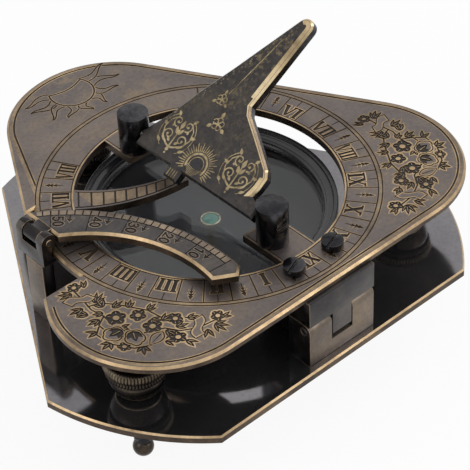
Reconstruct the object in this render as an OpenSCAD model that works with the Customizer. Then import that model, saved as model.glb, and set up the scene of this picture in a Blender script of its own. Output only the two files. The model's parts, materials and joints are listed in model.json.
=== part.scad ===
// Sundial compass: a triangular hour plate hinged over a round-cornered base
// that carries a compass and stands on three levelling screws.
// Millimetres, +Z up. The origin is the middle of the base plate's underside,
// the hinge lies towards -Y and the plain corner of the hour plate towards +Y.

/* [Base plate] */
// Radius of the round corners of the base plate
base_r = 70; // [68:0.5:76]
// Distance from the middle to each straight side
base_flat = 53.5; // [52.5:0.25:56]
// Thickness of the base plate
base_t = 2.5; // [2:0.1:4]
// Chamfer round the top edge of the base plate
base_chamfer = 0.6; // [0.2:0.1:1]
// Clear height between the base plate and the hour plate
plate_gap = 22; // [21.5:0.25:26]

/* [Hour plate] */
// Thickness of the hour plate
dial_t = 2.2; // [1.8:0.1:3]
// Distance of the rounded corners' centres from the middle
corner_out = 42.3; // [42:0.1:44]
// Radius of the rounded corners
corner_r = 29.1; // [28.8:0.1:31]
// Radius of the round opening
opening_r = 36.8; // [36:0.1:37.5]
// Radius of the hour circle, which also bounds the side notch
hour_r = 47.6; // [47.2:0.1:48.4]
// Lower end of the side notch, along Y
notch_y = -2.9; // [-6:0.1:0]
// Width of the two tabs that carry the posts
tab_w = 11.6; // [10:0.1:14]
// Middle line of the two tabs, along X
tab_x = -1.1; // [-1.6:0.1:0]
// Distance from the middle to the end of the far tab
tab_far = 24.9; // [22.5:0.1:25.5]
// Distance from the middle to the end of the near tab
tab_near = 21.1; // [20:0.1:24]

/* [Gnomon] */
// Line of the posts and the pivot, along X
post_x = -2.5; // [-3:0.1:0]
// Distance of each post from the middle
post_y = 27.9; // [27.5:0.1:28.8]
// Radius of a post
post_r = 4.35; // [4:0.05:4.8]
// Height of a post above the hour plate
post_h = 12; // [11:0.1:14]
// Height of the pivot above the hour plate
pivot_h = 7; // [6.9:0.1:8]
// Radius of the pivot screws' plain noses
pivot_r = 0.8; // [0.6:0.05:0.9]
// Thickness of the blade
blade_t = 3; // [2.6:0.1:3.6]
// Lean of the blade above the hour plate, in degrees
blade_lean = 35; // [5:1:85]

/* [Hinge] */
// Width of the hinge blocks
hinge_w = 23.5; // [20:0.5:28]
// Depth of the hinge blocks
hinge_depth = 8; // [7:0.1:9]
// Distance from the middle to the hinge's front face
hinge_front = 51.3; // [50.8:0.1:51.8]
// Width of the tongue between the ears
tongue_w = 7; // [5:0.1:9]
// Distance from the hinge axis to the front face and to the split line
knuckle_r = 2.3; // [2.1:0.05:2.6]
// Radius of the hinge pin
hinge_pin_r = 1.1; // [0.9:0.05:1.2]
// Depth of the split line below the hour plate
split_depth = 8.4; // [7.5:0.1:9.5]
// Length of the tongue below the hinge axis
tongue_drop = 4.8; // [4:0.1:5.5]

/* [Latitude arc] */
// Radius of the arc's graduated edge
arc_outer_r = 57.7; // [56.7:0.1:58.7]
// Radius of the arc's inner edge
arc_inner_r = 39.4; // [38.4:0.1:40]
// Width of the arc halfway along
arc_w = 8.4; // [7.6:0.1:9]
// Thickness of the arc
arc_t = 2.8; // [2:0.1:3]
// Height of the arc's underside above the hour plate
arc_lift = 2; // [1.6:0.1:3]
// Distance of the arc's pin outside the hour circle
arc_pin_out = 0; // [-0.1:0.1:0.4]
// Radius of the arc's pin
arc_pin_r = 1; // [0.8:0.05:1.2]

/* [Compass] */
// Outer radius of the compass case
case_r = 35.2; // [34.6:0.1:35.6]
// Depth of the bezel's top below the face of the hour plate
bezel_below = 4.5; // [4:0.1:6]
// Height of the bezel's ring
bezel_h = 2.6; // [2:0.1:3]
// Width of the bezel, from the case's outside to the clear view
bezel_w = 4.5; // [4.3:0.1:6.5]
// Thickness of the glass
glass_t = 1.2; // [0.8:0.1:2]
// Length of the needle
needle_l = 50; // [40:0.5:56]
// Radius of the coloured cap on the needle
cap_r = 2.2; // [1.8:0.1:3]

/* [Levelling screws] */
// Distance of the levelling screws' axes in from the round corners
foot_in = 14.6; // [13:0.1:16]
// Angle of the two hinge-side screws below the X axis
foot_angle = 27.5; // [26:0.5:30]
// Radius of a screw's stem
stem_r = 2.4; // [2:0.1:2.6]
// Radius of a ball foot
ball_r = 2.9; // [2.8:0.1:3.4]
// Height of the base plate above the table
leg_h = 21.7; // [16:0.1:24]
// Radius of the knurled rim
wheel_r = 8.9; // [8:0.1:9.5]
// Height of a thumb wheel
wheel_h = 10.8; // [9:0.1:12]
// Gap below a thumb wheel
wheel_gap = 1.5; // [1.3:0.1:3]

/* [Hidden] */
$fn = 96;

// Clearances: running fit, free gap between pieces, and screw hole over screw
fit = 0.05;
gap = 0.3;
hole_gap = 0.1;

// Levels
base_top = base_t;
dial_bottom = base_top + plate_gap;
dial_top = dial_bottom + dial_t;
side_out = corner_out / 2 + corner_r;
side_ease = 0.03;
notch_in = 30;
notch_top = 27;
pivot_z = dial_top + pivot_h;

// Hinge
hinge_y = -(hinge_front - knuckle_r);
split_z = dial_bottom - split_depth;
hinge_z = split_z - knuckle_r;
tongue_swing = norm([knuckle_r, tongue_drop]);
slot_floor = hinge_z - tongue_swing - 0.8;
leaf_t = 3;
leaf_end = 37.6;
dial_screw_x = 6.9;
dial_screw_y = -40.7;
dial_screw_r = 1.5;
dial_head_r = 3;
dial_head_h = 2.2;
base_screw_x = 7;
base_screw_r = 1.4;
base_screw_grip = 4.9;
post_screw_r = 1.1;

// Compass, from the base upward
bezel_top = dial_top - bezel_below;
case_top = bezel_top - bezel_h;
spigot_h = 1;
glass_top = case_top - spigot_h;
glass_seat = glass_top - glass_t;
case_floor = 2.4;
seat_r = case_r - 2.6;
view_r = case_r - bezel_w;
glass_r = seat_r - 0.2;
bore_r = seat_r - 1.6;
card_t = 0.6;
card_r = bore_r - 0.6;
card_z = base_top + case_floor;
needle_drop = 3.4;
needle_z = glass_seat - needle_drop;
needle_t = 0.7;
pivot_pin_r = 0.9;
pivot_tip_r = 0.3;
collar_r = 2.9;
collar_h = 1.2;
cap_h = 1;
needle_half_w = 2.3;
pivot_taper = 1.9;
case_screw_out = 20;
case_screw_r = 1.25;

// Latitude arc and its bracket
arc_z = dial_top + arc_lift + arc_t / 2;
arc_pin_x = hour_r + arc_pin_out;
ear_r = 2.4;
ear_y0 = 9.5;
ear_y1 = 20.5;
ear_t = 2.5;
arc_root_x = -(arc_pin_x - ear_r - gap);
arc_back = 28.4;
arc_outer_c = [-arc_pin_x - arc_back, -26];
arc_edge_x = arc_outer_c[0] + arc_outer_r;
arc_inner_c = [arc_edge_x - arc_w - arc_inner_r, -24.4];
arc_tip_back = 9.3;
arc_tip_in = [arc_edge_x - arc_tip_back, -32.1];
arc_tip_point = [arc_edge_x - 0.35 * arc_tip_back, -35.7];
arc_tip_out = [arc_edge_x + 0.1, -33];
flange_t = 1.6;
bracket_x0 = -(arc_pin_x + ear_r);
bracket_x1 = -sqrt(pow(hour_r, 2) - pow(ear_y0, 2)) - gap;
bracket_screw_r = 0.9;
flange_l = 7.9;
flange_x = bracket_x1 + flange_l;
bracket_screw_x = bracket_x1 + 0.55 * flange_l;
bracket_bottom = dial_bottom - flange_t;
rest_w = 4;
rest_y0 = 10.5;
rest_y1 = 17.5;
rest_screw_r = 1.1;
rest_screw_grip = 5.8;

// Spur: the bar left between two circles inside the opening
spur_outer_c = [0, 54.5];
spur_outer_r = 47.8;
spur_inner_c = [4, 50];
spur_inner_r = 39.4;
spur_tip_x = -1.5;

// Levelling screws: front, right and rear
FOOT_ANGLES = [180 + foot_angle, -foot_angle, 90];
foot_out = base_r - foot_in;
neck_r = 1.2;
neck_h = 4;
wheel_z = base_top + wheel_gap;
foot_flat = 0.2;

// Blade outline, as [distance along the pivot axis, distance from it]
blade_end = post_y - post_r - gap;
blade_foot = -3.3;
nose_grip = 3.5;
blade_tip = [-0.75, 47.8];
blade_tip_r = 2.6;
blade_lug = [4.2, 9.2, -6.4];
blade_points = [
    [blade_end, blade_foot], [blade_end, 1.2], [21.7, 4.2], [19.2, 8.6], [15.5, 18], [10.7, 28.2],
    [blade_tip[0] + 2.35, blade_tip[1] + 1.1], [blade_tip[0] - 2.6, blade_tip[1] - 0.3],
    [-2.5, 32], [-1.9, 22], [-3.3, 20], [-12, 14.4], [-18.4, 10.1], [-19.9, 7.9], [-19.9, 4.4],
    [-19.4, 2], [-20.6, 1.5], [-blade_end, 1.4], [-blade_end, blade_foot]
];

// Points of a ring profile with straight walls: radii and heights
function ring_box(r0, r1, z0, z1) = [[r0, z0], [r1, z0], [r1, z1], [r0, z1]];

// A screw with a countersunk head flush at z = 0, pointing up
module countersunk(r, length) {
    head_h = r;
    cylinder(r1 = 2 * r, r2 = r, h = head_h);
    cylinder(r = r, h = length);
}

// The hole for a countersunk screw, cut a little past the face
module countersunk_hole(r, length) {
    translate([0, 0, -0.01])
        cylinder(r1 = 2 * r + hole_gap, r2 = r + hole_gap, h = r);
    translate([0, 0, -0.01])
        cylinder(r = r + hole_gap, h = length + 0.02);
}

// A cross slot for a countersunk head, cut from below
module slot_cut(r) {
    cube([4.2 * r, 0.35 * r, 0.9 * r], center = true);
}

module at_feet() {
    for (a = FOOT_ANGLES) {
        rotate([0, 0, a])
            translate([foot_out, 0, 0])
                children();
    }
}

// A disc with three straight sides, chamfered round the top
module base_blank() {
    intersection() {
        rotate_extrude()
            polygon([
                [0, 0], [base_r, 0], [base_r, base_t - base_chamfer],
                [base_r - base_chamfer, base_t], [0, base_t]
            ]);
        base_side(-90);
        base_side(30);
        base_side(150);
    }
}

// A prism that ends at one straight side, with a sloping upper edge
module base_side(angle) {
    rotate([0, 0, angle])
        rotate([90, 0, 0])
            linear_extrude(height = 4 * base_r, center = true)
                polygon([
                    [-2 * base_r, 0], [base_flat, 0], [base_flat, base_t - base_chamfer],
                    [base_flat - base_chamfer, base_t], [-2 * base_r, base_t]
                ]);
}

module base_plate() {
    color([0.16, 0.14, 0.12])
        difference() {
            base_blank();
            at_feet()
                translate([0, 0, -1])
                    cylinder(r = stem_r + fit, h = base_t + 2);
            for (x = [-base_screw_x, base_screw_x]) {
                translate([x, hinge_y + hinge_depth / 2, 0])
                    countersunk_hole(base_screw_r, base_t);
            }
            for (a = [30, 150, 270]) {
                rotate([0, 0, a])
                    translate([case_screw_out, 0, 0])
                        countersunk_hole(case_screw_r, base_t);
            }
            translate([rest_x(), rest_y(), 0])
                countersunk_hole(rest_screw_r, base_t);
        }
}

// Three round corners joined by straight sides
module dial_outline() {
    for (a = [90, 210, 330]) {
        rotate(a)
            translate([corner_out, 0])
                circle(r = corner_r, $fn = 180);
    }
    for (a = [-90, 30, 150]) {
        rotate(a)
            translate([0, -corner_out * sin(60)])
                square([side_out - side_ease, 2 * corner_out * sin(60)]);
    }
}

// The bar that curves in from the ring to a narrow tip
module spur_outline() {
    intersection() {
        difference() {
            translate(spur_outer_c)
                circle(r = spur_outer_r, $fn = 180);
            translate(spur_inner_c)
                circle(r = spur_inner_r, $fn = 180);
        }
        circle(r = opening_r + 1, $fn = 180);
        translate([spur_tip_x - 2 * opening_r, 0])
            square([2 * opening_r, opening_r + 1]);
    }
}

// Everything outside the hour circle on the left, from the notch's lower end up
module notch_outline() {
    difference() {
        translate([-2 * hour_r, notch_y])
            square([2 * hour_r - notch_in, notch_top - notch_y]);
        circle(r = hour_r, $fn = 180);
    }
}

module dial_plate() {
    color([0.42, 0.36, 0.33])
        translate([0, 0, dial_bottom])
            difference() {
                linear_extrude(height = dial_t) {
                    difference() {
                        dial_outline();
                        circle(r = opening_r, $fn = 180);
                        notch_outline();
                    }
                    translate([tab_x - tab_w / 2, tab_far])
                        square([tab_w, opening_r + 1 - tab_far]);
                    translate([tab_x - tab_w / 2, -opening_r - 1])
                        square([tab_w, opening_r + 1 - tab_near]);
                    spur_outline();
                }
                for (x = [-dial_screw_x, dial_screw_x]) {
                    translate([x, dial_screw_y, -1])
                        cylinder(r = dial_screw_r + hole_gap, h = dial_t + 2);
                }
                for (y = [-post_y, post_y]) {
                    translate([post_x, y, 0])
                        countersunk_hole(post_screw_r, dial_t);
                }
                for (y = bracket_screw_ys()) {
                    translate([bracket_screw_x, y, -0.01])
                        cylinder(r = bracket_screw_r, h = dial_t * 0.7);
                }
            }
}

function bracket_screw_ys() = [ear_y0 + ear_t, ear_y1 - ear_t];
function rest_x() = bracket_x0 + rest_w / 2;
function rest_y() = (rest_y0 + rest_y1) / 2;

// Compass

module compass_case() {
    color([0.07, 0.07, 0.07])
        difference() {
            translate([0, 0, base_top])
                cylinder(r = case_r, h = case_top - base_top, $fn = 180);
            translate([0, 0, card_z])
                cylinder(r = bore_r, h = case_top, $fn = 180);
            translate([0, 0, glass_seat])
                cylinder(r = seat_r, h = case_top, $fn = 180);
            translate([0, 0, base_top - 1])
                cylinder(r = pivot_pin_r, h = case_floor + 2);
            for (a = [30, 150, 270]) {
                rotate([0, 0, a])
                    translate([case_screw_out, 0, base_top - 0.01])
                        cylinder(r = case_screw_r, h = case_floor * 0.8);
            }
        }
}

module compass_card() {
    color([0.1, 0.1, 0.11])
        translate([0, 0, card_z])
            difference() {
                cylinder(r = card_r, h = card_t, $fn = 180);
                translate([0, 0, -1])
                    cylinder(r = pivot_pin_r + hole_gap, h = card_t + 2);
            }
}

module needle_pivot() {
    color("goldenrod")
        rotate_extrude()
            polygon([
                [0, base_top], [pivot_pin_r, base_top], [pivot_pin_r, needle_z - gap - pivot_taper],
                [pivot_tip_r, needle_z - gap], [pivot_tip_r, needle_z + needle_t],
                [0.06, needle_z + needle_t + 0.4], [0, needle_z + needle_t + 0.4]
            ]);
}

// A long lozenge with a round hole in the middle
module compass_needle() {
    color([0.2, 0.22, 0.3])
        translate([0, 0, needle_z])
            linear_extrude(height = needle_t)
                difference() {
                    polygon([
                        [0, -needle_l / 2], [needle_half_w, 0], [0, needle_l / 2], [-needle_half_w, 0]
                    ]);
                    circle(r = 0.6);
                }
}

// A ring that grips the cap, seated on the needle
module needle_collar() {
    color([0.75, 0.72, 0.6])
        translate([0, 0, needle_z + needle_t])
            rotate_extrude()
                polygon(ring_box(cap_r, collar_r, 0, collar_h));
}

// The cap, with the hollow that turns on the pivot's point
module needle_cap() {
    color([0.25, 0.6, 0.5])
        translate([0, 0, needle_z + needle_t])
            difference() {
                cylinder(r = cap_r, h = collar_h + cap_h * 0.3);
                translate([0, 0, -0.01])
                    cylinder(r1 = 0.6, r2 = 0.05, h = 0.6);
            }
}

module compass_glass() {
    color([0.7, 0.8, 0.8, 0.35])
        translate([0, 0, glass_seat])
            cylinder(r = glass_r, h = glass_t, $fn = 180);
}

// A stepped ring whose inner wall slopes down to the glass
module compass_bezel() {
    color([0.07, 0.07, 0.07])
        rotate_extrude($fn = 180)
            polygon([
                [view_r, glass_top], [seat_r - fit, glass_top], [seat_r - fit, case_top],
                [case_r, case_top], [case_r, bezel_top - 0.5], [case_r - 0.5, bezel_top],
                [case_r - 1.3, bezel_top], [case_r - 1.6, bezel_top - 0.9],
                [case_r - 3, bezel_top - 1.2], [view_r, glass_top + 0.6]
            ]);
}

module case_screws() {
    color("dimgray")
        for (a = [30, 150, 270]) {
            rotate([0, 0, a])
                translate([case_screw_out, 0, 0])
                    difference() {
                        countersunk(case_screw_r, base_t + case_floor * 0.8 - 0.1);
                        slot_cut(case_screw_r);
                    }
        }
}

// Hinge

// Two ears with a quarter-round front corner, and a slot between them
module hinge_lower_block() {
    color([0.4, 0.37, 0.33])
        difference() {
            rotate([90, 0, 90])
                linear_extrude(height = hinge_w, center = true)
                    difference() {
                        union() {
                            translate([hinge_y, hinge_z])
                                circle(r = knuckle_r);
                            translate([hinge_y - knuckle_r, base_top])
                                square([2 * knuckle_r, hinge_z - base_top]);
                            translate([hinge_y, base_top])
                                square([hinge_depth - knuckle_r, split_z - base_top]);
                        }
                        translate([hinge_y, hinge_z])
                            circle(r = hinge_pin_r + 0.01);
                    }
            translate([-tongue_w / 2 - gap / 2, hinge_y - hinge_depth, slot_floor])
                cube([tongue_w + gap, 3 * hinge_depth, split_z]);
            for (x = [-base_screw_x, base_screw_x]) {
                translate([x, hinge_y + hinge_depth / 2, base_top - 0.01])
                    cylinder(r = base_screw_r, h = base_screw_grip + hole_gap);
            }
        }
}

// A leaf under the hour plate, a block below it and a tongue round the pin
module hinge_upper_block() {
    color([0.4, 0.37, 0.33])
        difference() {
            union() {
                translate([-hinge_w / 2, -hinge_front, split_z + gap / 2])
                    cube([hinge_w, hinge_depth, dial_bottom - split_z - gap / 2]);
                translate([-hinge_w / 2, -hinge_front, dial_bottom - leaf_t])
                    cube([hinge_w, hinge_front - leaf_end, leaf_t]);
                translate([-tongue_w / 2, -hinge_front, hinge_z - tongue_drop])
                    cube([tongue_w, 2 * knuckle_r, split_z - hinge_z + tongue_drop + gap]);
            }
            translate([0, hinge_y, hinge_z])
                rotate([0, 90, 0])
                    cylinder(r = hinge_pin_r + fit, h = 2 * tongue_w, center = true);
            for (x = [-dial_screw_x, dial_screw_x]) {
                translate([x, dial_screw_y, dial_bottom - leaf_t - 1])
                    cylinder(r = dial_screw_r, h = leaf_t + 2);
            }
        }
}

module hinge_pin() {
    color([0.55, 0.5, 0.42])
        translate([0, hinge_y, hinge_z])
            rotate([0, 90, 0])
                cylinder(r = hinge_pin_r, h = hinge_w, center = true);
}

module hinge_base_screws() {
    color("dimgray")
        for (x = [-base_screw_x, base_screw_x]) {
            translate([x, hinge_y + hinge_depth / 2, 0])
                difference() {
                    countersunk(base_screw_r, base_t + base_screw_grip);
                    slot_cut(base_screw_r);
                }
        }
}

// Slotted cheese-head screws through the hour plate into the hinge's leaf
module dial_screws() {
    color([0.15, 0.15, 0.15])
        for (x = [-dial_screw_x, dial_screw_x]) {
            translate([x, dial_screw_y, dial_top])
                difference() {
                    union() {
                        cylinder(r = dial_head_r, h = dial_head_h);
                        translate([0, 0, -dial_t - leaf_t + 0.2])
                            cylinder(r = dial_screw_r, h = dial_t + leaf_t);
                    }
                    translate([0, 0, dial_head_h])
                        rotate([0, 0, 20])
                            cube([3 * dial_head_r, 0.8, 1.6], center = true);
                }
        }
}

// Gnomon

// A post with a bore for its pivot screw; side is 1 for far and -1 for near
module gnomon_post(side) {
    color([0.2, 0.2, 0.21])
        translate([post_x, side * post_y, dial_top])
            difference() {
                cylinder(r = post_r, h = post_h);
                translate([0, 0, pivot_h])
                    rotate([90, 0, 0])
                        cylinder(r = pivot_shank_r() + fit, h = 3 * post_r, center = true);
                translate([0, side * post_r, pivot_h])
                    rotate([90, 0, 0])
                        cylinder(r = pivot_head_r() + hole_gap, h = 3, center = true);
                translate([0, 0, -0.01])
                    cylinder(r = post_screw_r, h = post_screw_grip() + hole_gap);
            }
}

function pivot_shank_r() = pivot_r + 0.4;
function pivot_head_r() = pivot_r + 1.2;
function post_screw_grip() = pivot_h - pivot_shank_r() - 1.7;

module gnomon_post_far() {
    gnomon_post(1);
}

module gnomon_post_near() {
    gnomon_post(-1);
}

module post_screws() {
    color("dimgray")
        for (y = [-post_y, post_y]) {
            translate([post_x, y, dial_bottom])
                difference() {
                    countersunk(post_screw_r, dial_t + post_screw_grip());
                    slot_cut(post_screw_r);
                }
        }
}

// Screws that pass through the posts and end as plain noses in the blade
module gnomon_pivot_screws() {
    color([0.3, 0.3, 0.3])
        for (side = [-1, 1]) {
            translate([post_x, side * (post_y + post_r), pivot_z])
                rotate([side * 90, 0, 0])
                    difference() {
                        union() {
                            translate([0, 0, 0.3])
                                cylinder(r = pivot_head_r(), h = 1.1);
                            translate([0, 0, 0.3])
                                cylinder(r = pivot_shank_r(), h = 2 * post_r - 0.2);
                            translate([0, 0, 0.3])
                                cylinder(r = pivot_r, h = 2 * post_r + gap + nose_grip);
                        }
                        translate([0, 0, 0.3])
                            cube([3 * pivot_head_r(), 0.5, 0.9], center = true);
                    }
        }
}

module blade_outline() {
    polygon(blade_points);
    translate(blade_tip)
        circle(r = blade_tip_r);
    translate([blade_lug[0], blade_lug[2]])
        square([blade_lug[1] - blade_lug[0], blade_foot - blade_lug[2] + 1]);
}

// The leaning blade, drilled along its lower edge for the two noses
module gnomon_blade() {
    color([0.3, 0.28, 0.24])
        translate([post_x, 0, pivot_z])
            rotate([0, -blade_lean, 0])
                difference() {
                    rotate([0, 0, 90])
                        mirror([0, 1, 0])
                            translate([0, 0, -blade_t / 2])
                                linear_extrude(height = blade_t)
                                    blade_outline();
                    for (side = [-1, 1]) {
                        translate([0, side * blade_end, 0])
                            rotate([90, 0, 0])
                                cylinder(r = pivot_r + fit, h = 2 * (nose_grip + gap), center = true);
                    }
                }
}

// Latitude arc

// A curved strip between two circles, with a pointed tip and a knuckle
module arc_outline() {
    intersection() {
        difference() {
            translate(arc_outer_c)
                circle(r = arc_outer_r, $fn = 180);
            translate(arc_inner_c)
                circle(r = arc_inner_r, $fn = 180);
        }
        polygon([
            [arc_root_x, arc_outer_r], [arc_root_x, 0], [arc_root_x, arc_tip_in[1]], arc_tip_in,
            arc_tip_point, arc_tip_out, [0, arc_tip_out[1]], [0, arc_outer_r]
        ]);
    }
}

module latitude_arc() {
    color([0.4, 0.36, 0.3])
        difference() {
            union() {
                translate([0, 0, arc_z - arc_t / 2])
                    linear_extrude(height = arc_t)
                        arc_outline();
                translate([-arc_pin_x, knuckle_y0(), arc_z - arc_t / 2])
                    cube([arc_pin_x + arc_root_x + 0.5, knuckle_y1() - knuckle_y0(), arc_t]);
                translate([-arc_pin_x, knuckle_y0(), arc_z])
                    rotate([-90, 0, 0])
                        cylinder(r = knuckle_out(), h = knuckle_y1() - knuckle_y0());
            }
            translate([-arc_pin_x, knuckle_y0() - 1, arc_z])
                rotate([-90, 0, 0])
                    cylinder(r = arc_pin_r + fit, h = knuckle_y1() - knuckle_y0() + 2);
        }
}

function knuckle_y0() = ear_y0 + ear_t + gap / 2;
function knuckle_y1() = ear_y1 - ear_t - gap / 2;
function knuckle_out() = ear_r - 0.2;

module arc_pin() {
    color([0.6, 0.55, 0.45])
        translate([-arc_pin_x, ear_y0 - 0.3, arc_z])
            rotate([-90, 0, 0])
                cylinder(r = arc_pin_r, h = ear_y1 - ear_y0 + 0.6);
}

// A block in the side notch with two ears, and a flange under the hour plate
module arc_bracket() {
    color([0.45, 0.4, 0.34])
        difference() {
            union() {
                translate([bracket_x0, ear_y0, bracket_bottom])
                    cube([bracket_x1 - bracket_x0, ear_y1 - ear_y0, arc_z - bracket_bottom]);
                translate([bracket_x1 - 0.5, ear_y0, bracket_bottom])
                    cube([flange_x - bracket_x1 + 0.5, ear_y1 - ear_y0, flange_t]);
                translate([-arc_pin_x, ear_y0, arc_z])
                    rotate([-90, 0, 0])
                        cylinder(r = ear_r, h = ear_y1 - ear_y0);
            }
            translate([bracket_x0 - 1, ear_y0 + ear_t, arc_z - knuckle_out() - gap])
                cube([4 * ear_r, ear_y1 - ear_y0 - 2 * ear_t, 4 * ear_r]);
            translate([bracket_x1, ear_y0 - 1, dial_bottom])
                cube([flange_x - bracket_x1 + 1, ear_y1 - ear_y0 + 2, dial_t + gap]);
            translate([-arc_pin_x, ear_y0 - 1, arc_z])
                rotate([-90, 0, 0])
                    cylinder(r = arc_pin_r + 0.01, h = ear_y1 - ear_y0 + 2);
            for (y = bracket_screw_ys()) {
                translate([bracket_screw_x, y, bracket_bottom])
                    countersunk_hole(bracket_screw_r, flange_t);
            }
        }
}

module arc_bracket_screws() {
    color("dimgray")
        for (y = bracket_screw_ys()) {
            translate([bracket_screw_x, y, bracket_bottom])
                difference() {
                    countersunk(bracket_screw_r, flange_t + dial_t * 0.7 - 0.1);
                    slot_cut(bracket_screw_r);
                }
        }
}

// The pillar on the base under the bracket, where the hour plate rests
module rest_post() {
    color([0.5, 0.46, 0.4])
        difference() {
            translate([bracket_x0, rest_y0, base_top])
                cube([rest_w, rest_y1 - rest_y0, bracket_bottom - gap - base_top]);
            translate([rest_x(), rest_y(), base_top - 0.01])
                cylinder(r = rest_screw_r, h = rest_screw_grip + hole_gap);
        }
}

module rest_post_screw() {
    color("dimgray")
        translate([rest_x(), rest_y(), 0])
            difference() {
                countersunk(rest_screw_r, base_t + rest_screw_grip);
                slot_cut(rest_screw_r);
            }
}

// Levelling screws

// A thumb wheel: a tapered foot, a groove and a knurled rim
module thumb_wheel(index) {
    color([0.25, 0.24, 0.22])
        rotate([0, 0, FOOT_ANGLES[index]])
            translate([foot_out, 0, wheel_z])
                rotate_extrude()
                    polygon([
                        [stem_r + 0.01, 0], [0.7 * wheel_r, 0], [0.9 * wheel_r, 0.52 * wheel_h],
                        [0.9 * wheel_r, 0.56 * wheel_h], [0.84 * wheel_r, 0.58 * wheel_h],
                        [0.84 * wheel_r, 0.64 * wheel_h], [0.97 * wheel_r, 0.66 * wheel_h],
                        [wheel_r, 0.69 * wheel_h], [wheel_r, 0.96 * wheel_h],
                        [0.95 * wheel_r, wheel_h], [stem_r + 0.01, wheel_h]
                    ]);
}

// The stem runs from the wheel's top through the base to the ball foot
module level_stem(index) {
    color([0.3, 0.3, 0.3])
        rotate([0, 0, FOOT_ANGLES[index]])
            translate([foot_out, 0, 0])
                difference() {
                    translate([0, 0, stem_bottom()])
                        cylinder(r = stem_r, h = wheel_z + wheel_h + 0.6 - stem_bottom());
                    translate([0, 0, stem_bottom() - 0.01])
                        cylinder(r = neck_r + fit, h = neck_h + 0.5);
                }
}

function stem_bottom() = -leg_h + 2 * ball_r - 0.4;

// A ball with a small flat to stand on, and a neck that turns in the stem
module ball_foot(index) {
    color([0.45, 0.43, 0.4])
        rotate([0, 0, FOOT_ANGLES[index]])
            translate([foot_out, 0, -leg_h])
                difference() {
                    union() {
                        translate([0, 0, ball_r])
                            sphere(r = ball_r);
                        translate([0, 0, ball_r])
                            cylinder(r = neck_r, h = ball_r + neck_h);
                    }
                    translate([-ball_r, -ball_r, -ball_r + foot_flat])
                        cube([2 * ball_r, 2 * ball_r, ball_r]);
                    translate([0, 0, 2 * ball_r - 0.7])
                        difference() {
                            cylinder(r = ball_r, h = 0.7);
                            translate([0, 0, -1])
                                cylinder(r = neck_r, h = 3);
                        }
                }
}

module thumb_wheel_front() {
    thumb_wheel(0);
}

module thumb_wheel_right() {
    thumb_wheel(1);
}

module thumb_wheel_rear() {
    thumb_wheel(2);
}

module level_stem_front() {
    level_stem(0);
}

module level_stem_right() {
    level_stem(1);
}

module level_stem_rear() {
    level_stem(2);
}

module ball_foot_front() {
    ball_foot(0);
}

module ball_foot_right() {
    ball_foot(1);
}

module ball_foot_rear() {
    ball_foot(2);
}

base_plate();
compass_case();
compass_card();
needle_pivot();
compass_needle();
needle_collar();
needle_cap();
compass_glass();
compass_bezel();
case_screws();
hinge_lower_block();
hinge_pin();
hinge_base_screws();
rest_post();
rest_post_screw();
dial_plate();
hinge_upper_block();
dial_screws();
gnomon_post_far();
gnomon_post_near();
post_screws();
arc_bracket();
arc_bracket_screws();
gnomon_blade();
gnomon_pivot_screws();
latitude_arc();
arc_pin();
thumb_wheel_front();
thumb_wheel_right();
thumb_wheel_rear();
level_stem_front();
level_stem_right();
level_stem_rear();
ball_foot_front();
ball_foot_right();
ball_foot_rear();
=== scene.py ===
import json
import math

import bmesh
import bpy
from mathutils import Matrix, Vector
from mathutils.geometry import delaunay_2d_cdt

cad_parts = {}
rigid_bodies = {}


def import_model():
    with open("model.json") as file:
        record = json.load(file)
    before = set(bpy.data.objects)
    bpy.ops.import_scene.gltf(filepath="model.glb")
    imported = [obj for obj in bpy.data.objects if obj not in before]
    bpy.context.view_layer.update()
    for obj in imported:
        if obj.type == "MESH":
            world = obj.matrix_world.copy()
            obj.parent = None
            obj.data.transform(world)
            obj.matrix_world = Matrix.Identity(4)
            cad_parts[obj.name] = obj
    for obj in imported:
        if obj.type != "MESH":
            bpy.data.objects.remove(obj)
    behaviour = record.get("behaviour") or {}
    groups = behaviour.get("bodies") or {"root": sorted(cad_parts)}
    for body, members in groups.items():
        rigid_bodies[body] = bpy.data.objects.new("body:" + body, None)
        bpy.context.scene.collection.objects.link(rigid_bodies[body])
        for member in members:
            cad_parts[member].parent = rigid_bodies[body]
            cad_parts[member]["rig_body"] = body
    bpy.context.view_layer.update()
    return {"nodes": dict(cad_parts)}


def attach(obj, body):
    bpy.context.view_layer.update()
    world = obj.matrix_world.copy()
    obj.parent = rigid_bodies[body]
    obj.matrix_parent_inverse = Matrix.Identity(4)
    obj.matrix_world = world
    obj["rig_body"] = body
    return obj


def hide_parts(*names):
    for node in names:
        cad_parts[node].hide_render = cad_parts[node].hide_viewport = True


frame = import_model()
NODES = frame["nodes"]
S = 0.001
TAU = 2 * math.pi

# Sizes in millimetres, as in the part's source
BASE_R, BASE_FLAT, BASE_T = 70.0, 53.5, 2.5
DIAL_Z0, DIAL_Z1 = 24.5, 26.7
CORNER_OUT, CORNER_R = 42.3, 29.1
SIDE = CORNER_OUT / 2 + CORNER_R
OPEN_R, HOUR_R, NOTCH_Y, NOTCH_TOP = 36.8, 47.6, -2.9, 27.0
TAB_X, TAB_HALF, TAB_FAR, TAB_NEAR = -1.1, 5.8, 24.9, 21.1
DIAL_SCREW_X, DIAL_SCREW_Y, DIAL_SCREW_HOLE = 6.9, -40.7, 1.6
POST_X, POST_Y, POST_R = -2.5, 27.9, 4.35
PIVOT_Z = DIAL_Z1 + 7
LEAN = math.radians(35)
ARC_T = 2.8
ARC_TOP = DIAL_Z1 + 2 + ARC_T
FOOT_OUT, FOOT_ANGLES, FOOT_HOLE = 55.4, {"front": 207.5, "right": -27.5, "rear": 90.0}, 2.46
WHEEL_Z, WHEEL_H = BASE_T + 1.5, 10.8
BALL_R, BALL_BOTTOM, FLOOR_Z = 2.9, -21.7, -21.5

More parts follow.
